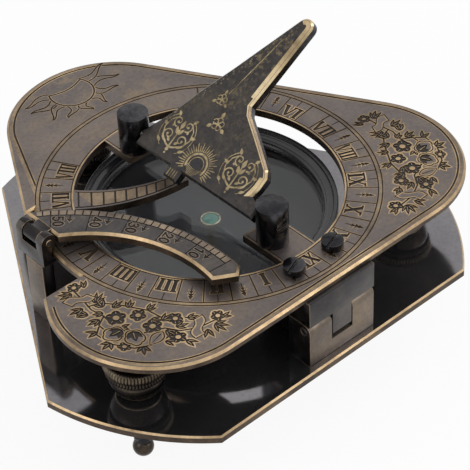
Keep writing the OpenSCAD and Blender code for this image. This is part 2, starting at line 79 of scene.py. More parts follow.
# Circles of the curved bar inside the hour ring: centre, then radius
BAR_LOW, BAR_LOW_R = (0, 54.5), 47.8
BAR_HIGH, BAR_HIGH_R = (4, 50), 39.4

# What an engraved face shows, by the place of its material in plate()
PLAIN, BRIGHT, CUT, INLAID, CHAMFER, WALL, UNDER, BAND, HAZE = range(9)


# Shader nodes

def set_sockets(node, **values):
    """Sets a node's sockets by name, with _ for a space."""
    for key, value in values.items():
        node.inputs[key.replace("_", " ")].default_value = value
    return node


def add_node(tree, kind, **values):
    return set_sockets(tree.nodes.new("ShaderNode" + kind), **values)


def nodes_of(name):
    mat = bpy.data.materials.new(name)
    mat.use_nodes = True
    return mat, mat.node_tree, mat.node_tree.nodes["Principled BSDF"]


def noise(tree, scale, detail, rough, distortion=0.0):
    n = add_node(tree, "TexNoise", Scale=scale, Detail=detail, Roughness=rough, Distortion=distortion)
    tree.links.new(add_node(tree, "TexCoord").outputs["Object"], n.inputs["Vector"])
    return n.outputs["Fac"]


def ramp(tree, fac, stops):
    """Colours along fac, from (place, colour) stops."""
    r = add_node(tree, "ValToRGB")
    elements = r.color_ramp.elements
    while len(elements) < len(stops):
        elements.new(0.5)
    for element, (place, colour) in zip(elements, stops):
        element.position = place
        element.color = (*colour, 1)
    tree.links.new(fac, r.inputs["Fac"])
    return r.outputs["Color"]


def mix(tree, fac, a, b, blend="MIX"):
    m = add_node(tree, "Mix")
    m.data_type = "RGBA"
    m.blend_type = blend
    for socket, value in ((0, fac), (6, a), (7, b)):
        if isinstance(value, float):
            m.inputs[socket].default_value = value
        elif isinstance(value, tuple):
            m.inputs[socket].default_value = (*value, 1)
        else:
            tree.links.new(value, m.inputs[socket])
    return m.outputs[2]


def metal(name, base, dark, light, rough=(0.3, 0.44), metallic=0.8, blotch=60, speck=0.35, fine=900,
          bump_mm=0.02, coat=0.0, flecks=None):
    """A worn, patinated surface: cloudy tone, fine specks, uneven gloss and a little grain.
    flecks are the colour, scale and cover of rubbed spots."""
    mat, tree, bsdf = nodes_of(name)
    body = ramp(tree, noise(tree, blotch, 5, 0.6, 0.4), [(0.32, dark), (0.5, base), (0.7, light)])
    grain = noise(tree, fine, 3, 0.7)
    specks = ramp(tree, grain, [(0.35, (0.45, 0.42, 0.4)), (0.55, (1, 1, 1)), (0.75, (1.25, 1.22, 1.15))])
    if flecks:
        colour, size, cover = flecks
        black, white = (0, 0, 0), (1, 1, 1)
        rub = ramp(tree, noise(tree, size, 3, 0.75), [(0.5, black), (0.64, white)])
        where = ramp(tree, noise(tree, blotch * 0.6, 3, 0.6),
                     [(0.5 - cover, black), (0.7 - cover * 0.4, white)])
        body = mix(tree, mix(tree, 1.0, rub, where, "MULTIPLY"), body, colour)
    tree.links.new(mix(tree, speck, body, specks, "MULTIPLY"), bsdf.inputs["Base Color"])
    gloss = add_node(tree, "MapRange", From_Min=0.3, From_Max=0.7, To_Min=rough[0], To_Max=rough[1])
    tree.links.new(noise(tree, blotch * 2.3, 4, 0.6), gloss.inputs["Value"])
    tree.links.new(gloss.outputs["Result"], bsdf.inputs["Roughness"])
    set_sockets(bsdf, Metallic=metallic, Coat_Weight=coat, Coat_Roughness=0.08)
    bump = add_node(tree, "Bump", Strength=0.25, Distance=bump_mm * S)
    tree.links.new(grain, bump.inputs["Height"])
    tree.links.new(bump.outputs["Normal"], bsdf.inputs["Normal"])
    return mat


def clear_glass(name):
    """Clear glass: the coat mirrors, and the body under it lets light straight through."""
    mat, tree, bsdf = nodes_of(name)
    set_sockets(bsdf, Transmission_Weight=1.0, IOR=1.02, Roughness=0.3,
                Coat_Weight=1.0, Coat_IOR=1.34, Coat_Roughness=0.0)
    smear = ramp(tree, noise(tree, 60, 3, 0.5), [(0.3, (0.9, 0.94, 0.95)), (0.7, (0.96, 0.98, 0.98))])
    tree.links.new(smear, bsdf.inputs["Base Color"])
    return mat


# Materials: the base tone, then its dark and light clouds

BRONZE = metal("engraved_bronze_face", (0.152, 0.127, 0.116), (0.108, 0.095, 0.093), (0.2, 0.163, 0.14),
               rough=(0.28, 0.42), metallic=0.75, blotch=38, speck=0.3,
               flecks=((0.22, 0.17, 0.125), 160, 0.02))
SOFT = metal("rubbed_bronze_band", (0.235, 0.175, 0.12), (0.12, 0.092, 0.07), (0.42, 0.31, 0.19),
             rough=(0.28, 0.42), metallic=0.85, blotch=55)
GROOVE = metal("dark_engraving", (0.018, 0.012, 0.009), (0.01, 0.007, 0.005), (0.038, 0.025, 0.017),
               rough=(0.5, 0.7), metallic=0.3, blotch=45, speck=0.3)
WORN = metal("worn_brass_edge", (0.4, 0.285, 0.165), (0.15, 0.108, 0.07), (0.62, 0.46, 0.28),
             rough=(0.3, 0.46), metallic=1.0, blotch=50, speck=0.3)
# Painted highlight: bright brass for the gnomon's chamfer and edge band on the hour side
HIGHLIGHT_BRASS = metal("brass_edge_painted_highlight", (0.6, 0.46, 0.27), (0.26, 0.19, 0.11), (0.8, 0.66, 0.42),
                 rough=(0.2, 0.32), metallic=1.0, blotch=55, speck=0.25)
SIDE_BROWN = metal("plate_side_brown", (0.085, 0.06, 0.043), (0.04, 0.029, 0.022), (0.2, 0.14, 0.09),
                   rough=(0.34, 0.5), metallic=0.85, blotch=80, speck=0.4)
# Painted shade: a dark tone put on faces by the way they point, in the hinge's seam, under the hour plate and
# on the arc's knuckle between the bracket's ears
PAINTED_SHADE = metal("painted_shade_dark_metal", (0.026, 0.022, 0.021), (0.015, 0.013, 0.013), (0.055, 0.043, 0.035),
              rough=(0.25, 0.4), blotch=90)
MIRROR = metal("black_mirror_plate", (0.22, 0.212, 0.22), (0.16, 0.155, 0.165), (0.3, 0.275, 0.255),
               rough=(0.04, 0.12), metallic=0.92, blotch=22, speck=0.2, bump_mm=0.001)
BORE = metal("black_case_satin", (0.016, 0.015, 0.018), (0.01, 0.009, 0.011), (0.028, 0.026, 0.03),
             rough=(0.5, 0.65), metallic=0.0, blotch=40, speck=0.2, bump_mm=0.002)
BLACK = metal("black_lacquer_gloss", (0.016, 0.015, 0.018), (0.01, 0.009, 0.011), (0.028, 0.026, 0.03),
              rough=(0.2, 0.34), metallic=0.0, blotch=40, speck=0.2, bump_mm=0.002, coat=0.1)
CARD = metal("matte_black_card", (0.017, 0.0155, 0.019), (0.013, 0.012, 0.0145), (0.023, 0.021, 0.025),
             rough=(0.6, 0.75), metallic=0.0, speck=0.12, fine=350, bump_mm=0.001)
CARD_MARK = metal("card_print", (0.1, 0.08, 0.065), (0.07, 0.055, 0.045), (0.14, 0.11, 0.085),
                  rough=(0.5, 0.65), metallic=0.2, blotch=120, speck=0.2)
BLADE = metal("gnomon_dark_face", (0.055, 0.05, 0.048), (0.036, 0.034, 0.036), (0.085, 0.072, 0.056),
              rough=(0.3, 0.42), blotch=75, speck=0.5, fine=700, flecks=((0.17, 0.135, 0.08), 620, 0.06))
INLAY = metal("pale_engraving", (0.36, 0.285, 0.16), (0.15, 0.115, 0.07), (0.52, 0.43, 0.27),
              rough=(0.35, 0.5), blotch=240, speck=0.55)
RUBBED = metal("rubbed_gold_haze", (0.13, 0.105, 0.066), (0.06, 0.052, 0.042), (0.24, 0.19, 0.115),
               rough=(0.32, 0.46), metallic=0.85, blotch=300, speck=0.6)
GREY_BRONZE = metal("arc_grey_face", (0.076, 0.069, 0.067), (0.05, 0.046, 0.046), (0.125, 0.107, 0.092))
LADDER = metal("arc_ladder_blocks", (0.23, 0.18, 0.135), (0.13, 0.1, 0.08), (0.36, 0.28, 0.2),
               rough=(0.3, 0.42), metallic=0.85, blotch=90)
STEEL = metal("dark_steel", (0.034, 0.034, 0.039), (0.015, 0.015, 0.018), (0.085, 0.081, 0.084),
              rough=(0.14, 0.3), metallic=0.95, blotch=150, speck=0.4)
STEEL_EDGE = metal("dark_steel_edge", (0.12, 0.112, 0.11), (0.06, 0.058, 0.06), (0.2, 0.185, 0.17),
                   rough=(0.25, 0.4), metallic=1.0, blotch=160)
GREY = metal("grey_antique_brass", (0.06, 0.056, 0.055), (0.042, 0.039, 0.041), (0.11, 0.094, 0.08),
             rough=(0.3, 0.46), blotch=75, speck=0.3)
HINGE_LOW = metal("hinge_brown_face", (0.14, 0.112, 0.09), (0.085, 0.07, 0.06), (0.24, 0.185, 0.13),
                  rough=(0.3, 0.45), speck=0.3)
DARK_BRASS = metal("dark_knurled_brass", (0.04, 0.032, 0.026), (0.022, 0.018, 0.016), (0.085, 0.066, 0.045),
                   rough=(0.2, 0.34), metallic=0.9, blotch=120)
KNURL = metal("knurled_rim", (0.1, 0.08, 0.056), (0.05, 0.04, 0.03), (0.2, 0.165, 0.115),
              rough=(0.3, 0.42), metallic=0.95, blotch=200, speck=0.4)
PALE = metal("pale_brass", (0.55, 0.47, 0.32), (0.36, 0.3, 0.19), (0.68, 0.6, 0.43),
             rough=(0.25, 0.4), metallic=0.9, blotch=160, speck=0.2)
BLUED = metal("blued_steel", (0.014, 0.015, 0.022), (0.01, 0.01, 0.014), (0.024, 0.025, 0.035),
              rough=(0.25, 0.38), metallic=0.6, blotch=120, speck=0.2)
STONE = metal("turquoise_stone", (0.05, 0.22, 0.165), (0.03, 0.14, 0.11), (0.1, 0.32, 0.245),
              rough=(0.25, 0.4), metallic=0.0, blotch=420, speck=0.25, coat=0.1)
GLASS = clear_glass("clear_glass_pane")


# Points and outlines in the plane

def point(cx, cy, r, a):
    """The point at distance r from (cx, cy), in the direction of a radians."""
    return (cx + r * math.cos(a), cy + r * math.sin(a))


def polar(r, degrees):
    return point(0, 0, r, math.radians(degrees))


def ray(cx, cy, r0, r1, a):
    return [point(cx, cy, r0, a), point(cx, cy, r1, a)]


def arc_pts(cx, cy, r, a0, a1, n):
    return [point(cx, cy, r, math.radians(a0 + (a1 - a0) * i / n)) for i in range(n + 1)]


def circle(cx, cy, r, n):
    return arc_pts(cx, cy, r, 0, 360, n)[:-1]


def box(x0, y0, x1, y1):
    return [(x0, y0), (x1, y0), (x1, y1), (x0, y1)]


def placed(pts, cx, cy, rot):
    """Points turned by rot radians and moved to (cx, cy)."""
    c, s = math.cos(rot), math.sin(rot)
    return [(cx + x * c - y * s, cy + x * s + y * c) for x, y in pts]


def blob(cx, cy, rx, ry=None, rot=0.0, n=14):
    ry = rx if ry is None else ry
    turns = [TAU * i / n for i in range(n)]
    return placed([(rx * math.cos(t), ry * math.sin(t)) for t in turns], cx, cy, rot)


def leaf(cx, cy, length, width, rot, n=7):
    """A pointed leaf that starts at (cx, cy)."""
    up = [(length * i / n, width / 2 * math.sin(math.pi * (i / n) ** 0.8)) for i in range(n + 1)]
    return placed(up + [(x, -y) for x, y in up[-2:0:-1]], cx, cy, rot)


def area(p):
    return sum(a[0] * b[1] - b[0] * a[1] for a, b in zip(p, p[1:] + p[:1])) / 2


def ccw(p):
    """The same polygon, counter-clockwise."""
    p = [tuple(q[:2]) for q in p]
    return p if area(p) > 0 else p[::-1]


def offset(poly, d):
    """A counter-clockwise polygon moved out by d, or in where d is negative."""
    out, n = [], len(poly)
    for i in range(n):
        a, b, c = (Vector(poly[(i + k) % n]) for k in (-1, 0, 1))
        e1, e2 = (b - a).normalized(), (c - b).normalized()
        n1, n2 = Vector((e1.y, -e1.x)), Vector((e2.y, -e2.x))
        m = n1 + n2
        if m.length < 1e-6:
            m = n1
        m = m.normalized()
        out.append(tuple(b + m * (d / max(0.35, m.dot(n1)))))
    return out


def offset_line(pts, d):
    """An open line moved to its left by d."""
    out = []
    for i, p in enumerate(pts):
        t = (Vector(pts[min(i + 1, len(pts) - 1)]) - Vector(pts[max(i - 1, 0)])).normalized()
        out.append((p[0] - t.y * d, p[1] + t.x * d))
    return out


def stroke(pts, w0, w1=None, closed=False):
    """Quads along a line, with its width going from w0 to w1."""
    w1 = w0 if w1 is None else w1
    n = len(pts)
    left, right = [], []
    for i in range(n):
        a = Vector(pts[(i - 1) % n] if closed or i > 0 else pts[i])
        b = Vector(pts[(i + 1) % n] if closed or i < n - 1 else pts[i])
        t = (b - a).normalized()
        w = (w0 + (w1 - w0) * i / max(1, n - 1)) / 2
        p, q = Vector(pts[i]), Vector((-t.y, t.x))
        left.append(tuple(p + q * w))
        right.append(tuple(p - q * w))
    last = n if closed else n - 1
    return [[right[i], right[(i + 1) % n], left[(i + 1) % n], left[i]] for i in range(last)]


def ring(r, w, n=260):
    return stroke(circle(0, 0, r, n), w, closed=True)


def bars(pts, w):
    """Each piece of a line as a rectangle with square ends."""
    out = []
    for a, b in zip(pts, pts[1:]):
        a, b = Vector(a), Vector(b)
        t = (b - a).normalized() * w / 2
        q = Vector((-t.y, t.x))
        out.append([tuple(v) for v in (a - t - q, b + t - q, b + t + q, a - t + q)])
    return out


def sound(poly):
    """False for a four-sided shape that crosses itself."""
    if len(poly) != 4:
        return True

    def side(a, b, c):
        return (b[0] - a[0]) * (c[1] - a[1]) - (b[1] - a[1]) * (c[0] - a[0])

    for a, b, c, d in (poly, poly[1:] + poly[:1]):
        if side(a, b, c) * side(a, b, d) < 0 and side(c, d, a) * side(c, d, b) < 0:
            return False
    return abs(area(poly)) > 1e-4


def toned(kind, polys):
    """Marks for plate(): each polygon with the kind of face that it makes."""
    return [(q, kind) for q in polys]


def outlined(polys, grow):
    """Dark cut shapes with a bright worn border."""
    return toned(BRIGHT, [offset(ccw(p), grow) for p in polys]) + toned(CUT, polys)


# Figures made of plain strokes

DIGITS = {
    "0": [[(0.75 + 0.62 * math.cos(TAU * i / 16), 1.2 + 1.1 * math.sin(TAU * i / 16)) for i in range(17)]],
    "1": [[(0.3, 1.9), (0.8, 2.3), (0.8, 0.1)]],
    "2": [[(0.15, 1.75), (0.35, 2.2), (0.8, 2.35), (1.25, 2.1), (1.3, 1.6), (1.0, 1.1), (0.15, 0.15),
           (1.4, 0.15)]],
    "3": [[(0.15, 1.95), (0.5, 2.3), (1.0, 2.3), (1.3, 1.9), (1.1, 1.45), (0.65, 1.3), (1.15, 1.15),
           (1.4, 0.7), (1.1, 0.2), (0.55, 0.05), (0.1, 0.4)]],
    "4": [[(1.05, 0.05), (1.05, 2.3), (0.1, 0.8), (1.45, 0.8)]],
    "5": [[(1.3, 2.3), (0.35, 2.3), (0.25, 1.35), (0.8, 1.5), (1.3, 1.2), (1.35, 0.6), (1.0, 0.15),
           (0.5, 0.05), (0.1, 0.35)]],
}
COMPASS_LETTERS = {
    "N": [[(-0.9, -1.3), (-0.9, 1.3), (0.9, -1.3), (0.9, 1.3)]],
    "E": [[(0.8, -1.3), (-0.8, -1.3), (-0.8, 1.3), (0.8, 1.3)], [(-0.8, 0), (0.5, 0)]],
    "S": [[(0.8, 0.95), (0.3, 1.3), (-0.4, 1.3), (-0.8, 0.85), (-0.6, 0.3), (0.6, -0.25), (0.8, -0.8),
           (0.4, -1.3), (-0.4, -1.3), (-0.85, -0.9)]],
    "W": [[(-1.2, 1.3), (-0.6, -1.3), (0, 0.8), (0.6, -1.3), (1.2, 1.3)]],
}


def number(text, origin, right, up, size, w):
    out = []
    for k, ch in enumerate(text):
        for line in DIGITS[ch]:
            pts = []
            for x, y in line:
                u, v = (x + 1.85 * k - 0.925 * len(text)) * size, (y - 1.2) * size
                pts.append((origin[0] + right[0] * u + up[0] * v, origin[1] + right[1] * u + up[1] * v))
            out += bars(pts, w)
    return out


def glyph_parts(ch, h):
    """A Roman figure of height h as convex parts, and its width."""
    s = 0.5
    if ch == "I":
        return [box(-0.48, 0, 0.48, h), box(-0.8, 0, 0.8, s), box(-0.8, h - s, 0.8, h)], 1.72
    if ch == "V":
        return [[(-1.68, h), (-0.33, 0), (0.34, 0), (-0.57, h)], [(1.0, h), (1.55, h), (0.34, 0), (-0.14, 0)],
                box(-2.0, h - s, -0.4, h), box(0.7, h - s, 1.9, h)], 3.6
    return [[(-1.58, h), (-0.5, h), (1.68, 0), (0.6, 0)], [(0.95, h), (1.5, h), (-0.95, 0), (-1.5, 0)],
            box(-1.9, h - s, -0.3, h), box(0.6, h - s, 1.9, h),
            box(-1.85, 0, -0.6, s), box(0.3, 0, 1.95, s)], 3.6


def roman(text, angle, r0=37.95, h=4.75):
    """A Roman figure on the hour circle, tops outward, read clockwise."""
    glyphs = [glyph_parts(ch, h) for ch in text]
    total = sum(w for _, w in glyphs)
    squeeze = min(1.06, 6.6 / total)
    x, out = -total / 2, []
    for parts, w in glyphs:
        for part in parts:
            out.append(ccw([point(0, 0, r0 + py, math.radians(angle) - (x + w / 2 + px) * squeeze / 40.0)
                            for px, py in part]))
        x += w
    return out


# Meshes

def finish_object(name, me, body, replaces=(), angle=32):
    """Links a mesh as a piece that rides on a body. Edges sharper than the angle stay sharp."""
    bm = bmesh.new()
    bm.from_mesh(me)
    bmesh.ops.remove_doubles(bm, verts=bm.verts, dist=2e-6)
    bmesh.ops.recalc_face_normals(bm, faces=bm.faces)
    for f in bm.faces:
        f.smooth = True
    for e in bm.edges:
        e.smooth = len(e.link_faces) == 2 and e.calc_face_angle(0) < math.radians(angle)
    bm.to_mesh(me)
    bm.free()
    ob = bpy.data.objects.new(name, me)
    bpy.context.scene.collection.objects.link(ob)
    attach(ob, body)
    if replaces:
        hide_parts(*replaces)
    return ob


def build(name, verts, faces, mats, mids, body, replaces=(), matrix=None, angle=32):
    """A piece from points in millimetres. mids are the faces' materials."""
    if matrix is not None:
        verts = [matrix @ Vector(v) for v in verts]
    me = bpy.data.meshes.new(name)
    me.from_pydata([(v[0] * S, v[1] * S, v[2] * S) for v in verts], [], faces)
    for m in mats:
        me.materials.append(m)
    me.polygons.foreach_set("material_index", mids)
    return finish_object(name, me, body, replaces, angle)


def tube_faces(rows, n, start=0):
    """Quads between closed rows of n points each."""
    faces = []
    for k in range(rows - 1):
        a, b = start + k * n, start + (k + 1) * n
        faces += [[a + i, a + (i + 1) % n, b + (i + 1) % n, b + i] for i in range(n)]
    return faces


def triangulated(polys):
    """Points and triangles that fill the polygons, and the polygons that hold each triangle."""
    points, loops = [], []
    for p in polys:
        loops.append(list(range(len(points), len(points) + len(p))))
        points += [Vector(q) for q in p]
    verts, _, faces, _, _, holders = delaunay_2d_cdt(points, [], loops, 0, 1e-5, True)
    return verts, faces, [set(h) for h in holders]


def plate(name, outer, cuts, adds, z0, z1, bevel, marks, depth, mats, body, replaces, matrix=None,
          low_bevel=0.25):
    """A flat plate with engraving cut into its top face. adds are solid also where a cut runs.
    marks are (polygon, kind) in painting order.
    mats are top, bright, groove, inlay, chamfer, side and bottom."""
    outer = ccw(outer)
    inner, under = offset(outer, -bevel), offset(outer, -low_bevel)
    marks = [(ccw(q), kind) for q, kind in marks if sound(q)]
    shapes = [ccw(p) for p in cuts + adds]
    first_mark = 1 + len(shapes)
    points, tris, holders = triangulated([inner] + shapes + [q for q, _ in marks])

    def is_solid(held):
        is_cut = any(1 <= i <= len(cuts) for i in held)
        return 0 in held and (not is_cut or any(len(cuts) < i < first_mark for i in held))

    kinds = []
    for held in holders:
        top = max(held, default=0)
        kind = marks[top - first_mark][1] if top >= first_mark else PLAIN
        kinds.append(kind if is_solid(held) else None)
    level = {kind: z1 for kind in (PLAIN, BRIGHT, BAND, HAZE)} | {CUT: z1 - depth, INLAID: z1 - depth * 0.5}
    verts, index, faces, mids = [], {}, [], []

    def vid(i, z):
        """The place of plane point i at height z in verts."""
        key = (i, round(z, 4))
        if key not in index:
            index[key] = len(verts)
            verts.append((*points[i], z))
        return index[key]

    def wall(a, b, high, low, material):
        faces.append([vid(a, high), vid(b, high), vid(b, low), vid(a, low)])
        mids.append(material)

    edges = {}
    for f, tri in enumerate(tris):
        for a, b in zip(tri, list(tri[1:]) + [tri[0]]):
            edges.setdefault((min(a, b), max(a, b)), []).append((f, a, b))
        if kinds[f] is not None:
            faces.append([vid(i, level[kinds[f]]) for i in tri])
            mids.append(kinds[f])
    for users in edges.values():
        if len(users) < 2:
            continue
        (f1, a, b), (f2, _, _) = users
        k1, k2 = kinds[f1], kinds[f2]
        if k1 == k2:
            continue
        if k1 is None or k2 is None:
            if 0 in holders[f1] and 0 in holders[f2]:
                wall(a, b, level[k2 if k1 is None else k1], z0, WALL)
        elif level[k1] != level[k2]:
            step = INLAID if INLAID in (k1, k2) else CUT
            wall(a, b, max(level[k1], level[k2]), min(level[k1], level[k2]), step)
    n = len(outer)
    faces += tube_faces(4, n, len(verts))
    mids += [CHAMFER] * n + [WALL] * n + [BAND] * n
    for loop, z in ((inner, z1), (outer, z1 - bevel), (outer, z0 + low_bevel), (under, z0)):
        verts += [(x, y, z) for x, y in loop]
    points, tris, holders = triangulated([under] + shapes)
    start = len(verts)
    verts += [(*p, z0) for p in points]
    bottom = [[start + i for i in tri][::-1] for tri, held in zip(tris, holders) if is_solid(held)]
    faces += bottom
    mids += [UNDER] * len(bottom)
    return build(name, verts, faces, mats + [SOFT, RUBBED], mids, body, replaces, matrix)


def revolve(name, profile, n, mats, mids, body, replaces, centre=(0, 0), radius=None, angle=32):
    """A turned piece from (radius, height) points. mids has a material for each span, or one for all.
    radius changes a point's radius by its place, radius, height and turn."""
    verts = []
    for k, (r, z) in enumerate(profile):
        for t in (TAU * i / n for i in range(n)):
            verts.append((*point(*centre, radius(k, r, z, t) if radius else r, t), z))
    spans = len(profile) - 1
    if not isinstance(mids, list):
        mids = [mids] * spans
    ids = [mids[k] for k in range(spans) for _ in range(n)]
    return build(name, verts, tube_faces(spans + 1, n), mats, ids, body, replaces, angle=angle)


def dress(node, mats, width, shade=(), seam=None):
    """A piece with the shape of a CAD node, its corners rounded and bright where they wear.
    Faces along the directions in shade take the third material as painted shade, and so do the worn corners
    where seam is true, as painted shade in the seam."""
    src = NODES[node]
    bm = bmesh.new()
    bm.from_mesh(src.data)
    bmesh.ops.remove_doubles(bm, verts=bm.verts, dist=4e-6)
    bmesh.ops.dissolve_limit(bm, angle_limit=math.radians(0.6), verts=bm.verts, edges=bm.edges)
    for f in bm.faces:
        f.normal_update()
        f.material_index = 2 if any(f.normal.dot(Vector(d)) > 0.9 for d in shade) else 0
    if width:
        sharp = [e for e in bm.edges if len(e.link_faces) == 2 and e.calc_face_angle(0) > math.radians(30)]
        bmesh.ops.bevel(bm, geom=sharp, offset=width * S, offset_type="OFFSET", segments=2, profile=0.5,
                        affect="EDGES", clamp_overlap=True, material=1)
    if seam:
        for f in bm.faces:
            if f.material_index == 1 and seam(f.calc_center_median() / S):
                f.material_index = 2
    me = bpy.data.meshes.new(node + "_finished")
    bm.to_mesh(me)
    bm.free()
    for m in mats:
        me.materials.append(m)
    return finish_object(node + "_finished", me, src["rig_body"], [node])


# Hour plate

def hour_outline():
    """A rounded triangle, whose left side steps in to the hour ring between two heights."""
    corner_x, corner_y = polar(CORNER_OUT, -30)
    step_top = 180 - math.degrees(math.asin(NOTCH_TOP / HOUR_R))
    step_low = 180 + math.degrees(math.asin(-NOTCH_Y / HOUR_R))

    def on_side(y):
        return (-(SIDE - 0.5 * y) / math.cos(math.radians(30)), y)

    return (arc_pts(corner_x, corner_y, CORNER_R, -90, 30, 44) + arc_pts(0, CORNER_OUT, CORNER_R, 30, 150, 44)
            + [on_side(NOTCH_TOP)] + arc_pts(0, 0, HOUR_R, step_top, step_low, 26) + [on_side(NOTCH_Y)]
            + arc_pts(-corner_x, corner_y, CORNER_R, 150, 270, 44))


def border(outer):
    """The line along the edge with its bright band, left out beside the step."""
    keep = [p for p in offset(ccw(outer), -2.1)
            if not (p[0] < -36 and NOTCH_Y - 3 < p[1] < NOTCH_TOP + 2.5)]

    def gap(i):
        x, y = keep[i]
        return (Vector(keep[(i + 1) % len(keep)]) - Vector(keep[i])).length if x < -30 and y > 0 else 0

    cut_at = max(range(len(keep)), key=gap)
    line = keep[cut_at + 1:] + keep[:cut_at + 1]
    return (toned(BAND, stroke(offset_line(line, -0.66), 1.2)) + toned(BRIGHT, stroke(line, 0.96))
            + toned(CUT, stroke(line, 0.52)))


def arrow(a):
    """A barbed arrow between two hours, pointing outward."""
    def at(r, across):
        return polar(r, a + math.degrees(across / r))

    head = [[at(45.1, 0), at(43.6, 0.7), at(43.6, -0.7)]]
    for tip, low, throat, half in ((44.0, 42.4, 42.9, 0.95), (42.9, 41.3, 41.8, 0.7)):
        head.append([at(tip, 0), at(low, half), at(throat, 0), at(low, -half)])
    return outlined(head, 0.14) + toned(CUT, stroke([polar(43.8, a), polar(39.8, a)], 0.4, 0.16))


def hour_ring():
    """The circle of hours: double line, figures, fields and arrows."""
    marks = toned(BAND, ring(46.55, 1.9)) + toned(CUT, ring(45.95, 0.36) + ring(47.12, 0.34))
    marks += toned(BRIGHT, ring(37.1, 0.44)) + toned(CUT, ring(37.48, 0.28))
    hours = [("XII", 267), ("XI", 284.5), ("X", 302), ("IX", 320), ("VIII", 337.5), ("VII", 355),
             ("VI", 12.5), ("V", 30), ("IIII", 47.5), ("I", 248.8), ("II", 231), ("III", 212.8),
             ("IIII", 195), ("V", 177.3), ("VI", 159.8), ("VII", 142.5), ("VIII", 125)]
    half_field = 4.7
    field_ends = set()
    for text, a in hours:
        field_ends |= {round(a - half_field, 2), round(a + half_field, 2)}
        marks += toned(CUT, stroke([polar(43.2, a), polar(45.8, a)], 0.26)) + outlined(roman(text, a), 0.27)
    for kind, r0, r1, w in ((BAND, 37.6, 45.75, 0.78), (CUT, 37.5, 45.85, 0.32)):
        for a in sorted(field_ends):
            marks += toned(kind, stroke([polar(r0, a), polar(r1, a)], w))
    places = sorted(a for _, a in hours)
    arrows = {(a + b) / 2 for a, b in zip(places, places[1:]) if b - a < 20} | {(267 + 248.8) / 2}
    for a in sorted(arrows):
        marks += arrow(a)
    return marks


def rail(centre, r, xs):
    """Points on the lower half of a circle."""
    return [(x, centre[1] - math.sqrt(r * r - (x - centre[0]) ** 2)) for x in xs]


def free(*pts):
    """True where all points are clear of the hour ring's inner rim."""
    return all(math.hypot(*q) < 37.1 for q in pts)


def curved_bar():
    """The bar between two circles, from the ring to a narrow tip."""
    n = 40
    low = rail(BAR_LOW, BAR_LOW_R, [-1.5 - (33.8 - 1.5) * i / n for i in range(n + 1)])
    high = rail(BAR_HIGH, BAR_HIGH_R, [-1.5 - (30.6 - 1.5) * i / n for i in range(n + 1)])
    return low + high[::-1]


def curved_bar_marks():
    """A ladder of rubbed blocks between two cut lines."""
    n = 44
    xs = [-3.0 - 30.2 * i / n for i in range(n + 1)]
    lower, upper = rail(BAR_LOW, 47.25, xs), rail(BAR_HIGH, 39.95, xs)
    marks = [([lower[i], lower[i + 1], upper[i + 1], upper[i]], BAND) for i in range(n)
             if free(lower[i + 1], upper[i + 1])]
    rims = stroke(rail(BAR_LOW, 47.05, xs), 0.4) + stroke(rail(BAR_HIGH, 40.2, xs), 0.3)
    marks += toned(CUT, [q for q in rims if free(*q)])
    across = Vector((0.62, 0.78)).normalized()
    for k in range(11):
        a = Vector(rail(BAR_LOW, 46.9, [-5.6 - 2.75 * k])[0])
        length = 0.2
        while (a + across * length - Vector(BAR_HIGH)).length > 40.3:
            length += 0.1
        if free(a, a + across * length):
            marks += toned(CUT, stroke([tuple(a), tuple(a + across * length)], 0.5))
    return marks


def tab_borders(t0, t1):
    """A rubbed band and a cut line along the tabs' sides, and a bright end."""
    marks = []
    for x, e in ((t0, 1), (t1, -1)):
        for y0, y1 in ((-36.4, -21.9), (36.4, 25.6)):
            for kind, inset, w in ((BAND, 0.32, 0.42), (CUT, 0.68, 0.24)):
                marks += toned(kind, stroke([(x + inset * e, y0), (x + inset * e, y1)], w))
    for y, e in ((-TAB_NEAR, -1), (TAB_FAR, 1)):
        marks += toned(BRIGHT, stroke([(t0 + 0.15, y + 0.25 * e), (t1 - 0.15, y + 0.25 * e)], 0.36))
    return marks


def wave(p0, p1, bend, w, n=9):
    """A flame ray: a tapering curl from p0 to its tip p1, drawn as its two edges."""
    a, b = Vector(p0), Vector(p1)
    d = b - a
    q = Vector((-d.y, d.x)).normalized()
    left, right = [], []
    for i in range(n + 1):
        t = i / n
        mid = a + d * t + q * bend * math.sin(math.pi * t * 1.6)
        half = w * (1 - t) ** 0.85
        left.append(tuple(mid + q * half))
        right.append(tuple(mid - q * half))
    return left, right


def sun():
    """A half sun with flame rays, and a dip across its open side."""
    cx, cy, r = 1.0, 60.6, 6.6
    rim = arc_pts(cx, cy, r, 152, 388, 40)
    (x0, y0), (x1, y1) = rim[-1], rim[0]
    dip = [(x0 + (x1 - x0) * i / 14, y0 + (y1 - y0) * i / 14 - 1.5 * math.sin(math.pi * i / 14))
           for i in range(15)]
    tips = [(-13.5, 64.6), (-13.8, 59.7), (-11.6, 54.6), (-6.6, 51.0), (-0.6, 49.8), (6.2, 50.0),
            (12.2, 52.6), (16.6, 58.4), (16.8, 64.4)]
    last = len(tips) - 1
    marks = []
    for k, tip in enumerate(tips):
        root = point(cx, cy, r + 0.1, math.atan2(tip[1] - cy, tip[0] - cx))
        if k in (0, last):
            root = (rim[0 if k == 0 else -1][0], rim[0][1] - 0.9)
        left, right = wave(root, tip, 0.95 if k % 2 else -0.95, 1.45)
        marks += toned(BAND, stroke(left, 0.84) + stroke(right, 0.84))
        marks += toned(CUT, stroke(left, 0.4) + stroke(right, 0.4))
    marks += toned(BAND, stroke(rim, 0.95) + stroke(dip, 0.95))
    return marks + toned(CUT, stroke(rim, 0.44) + stroke(dip, 0.44))


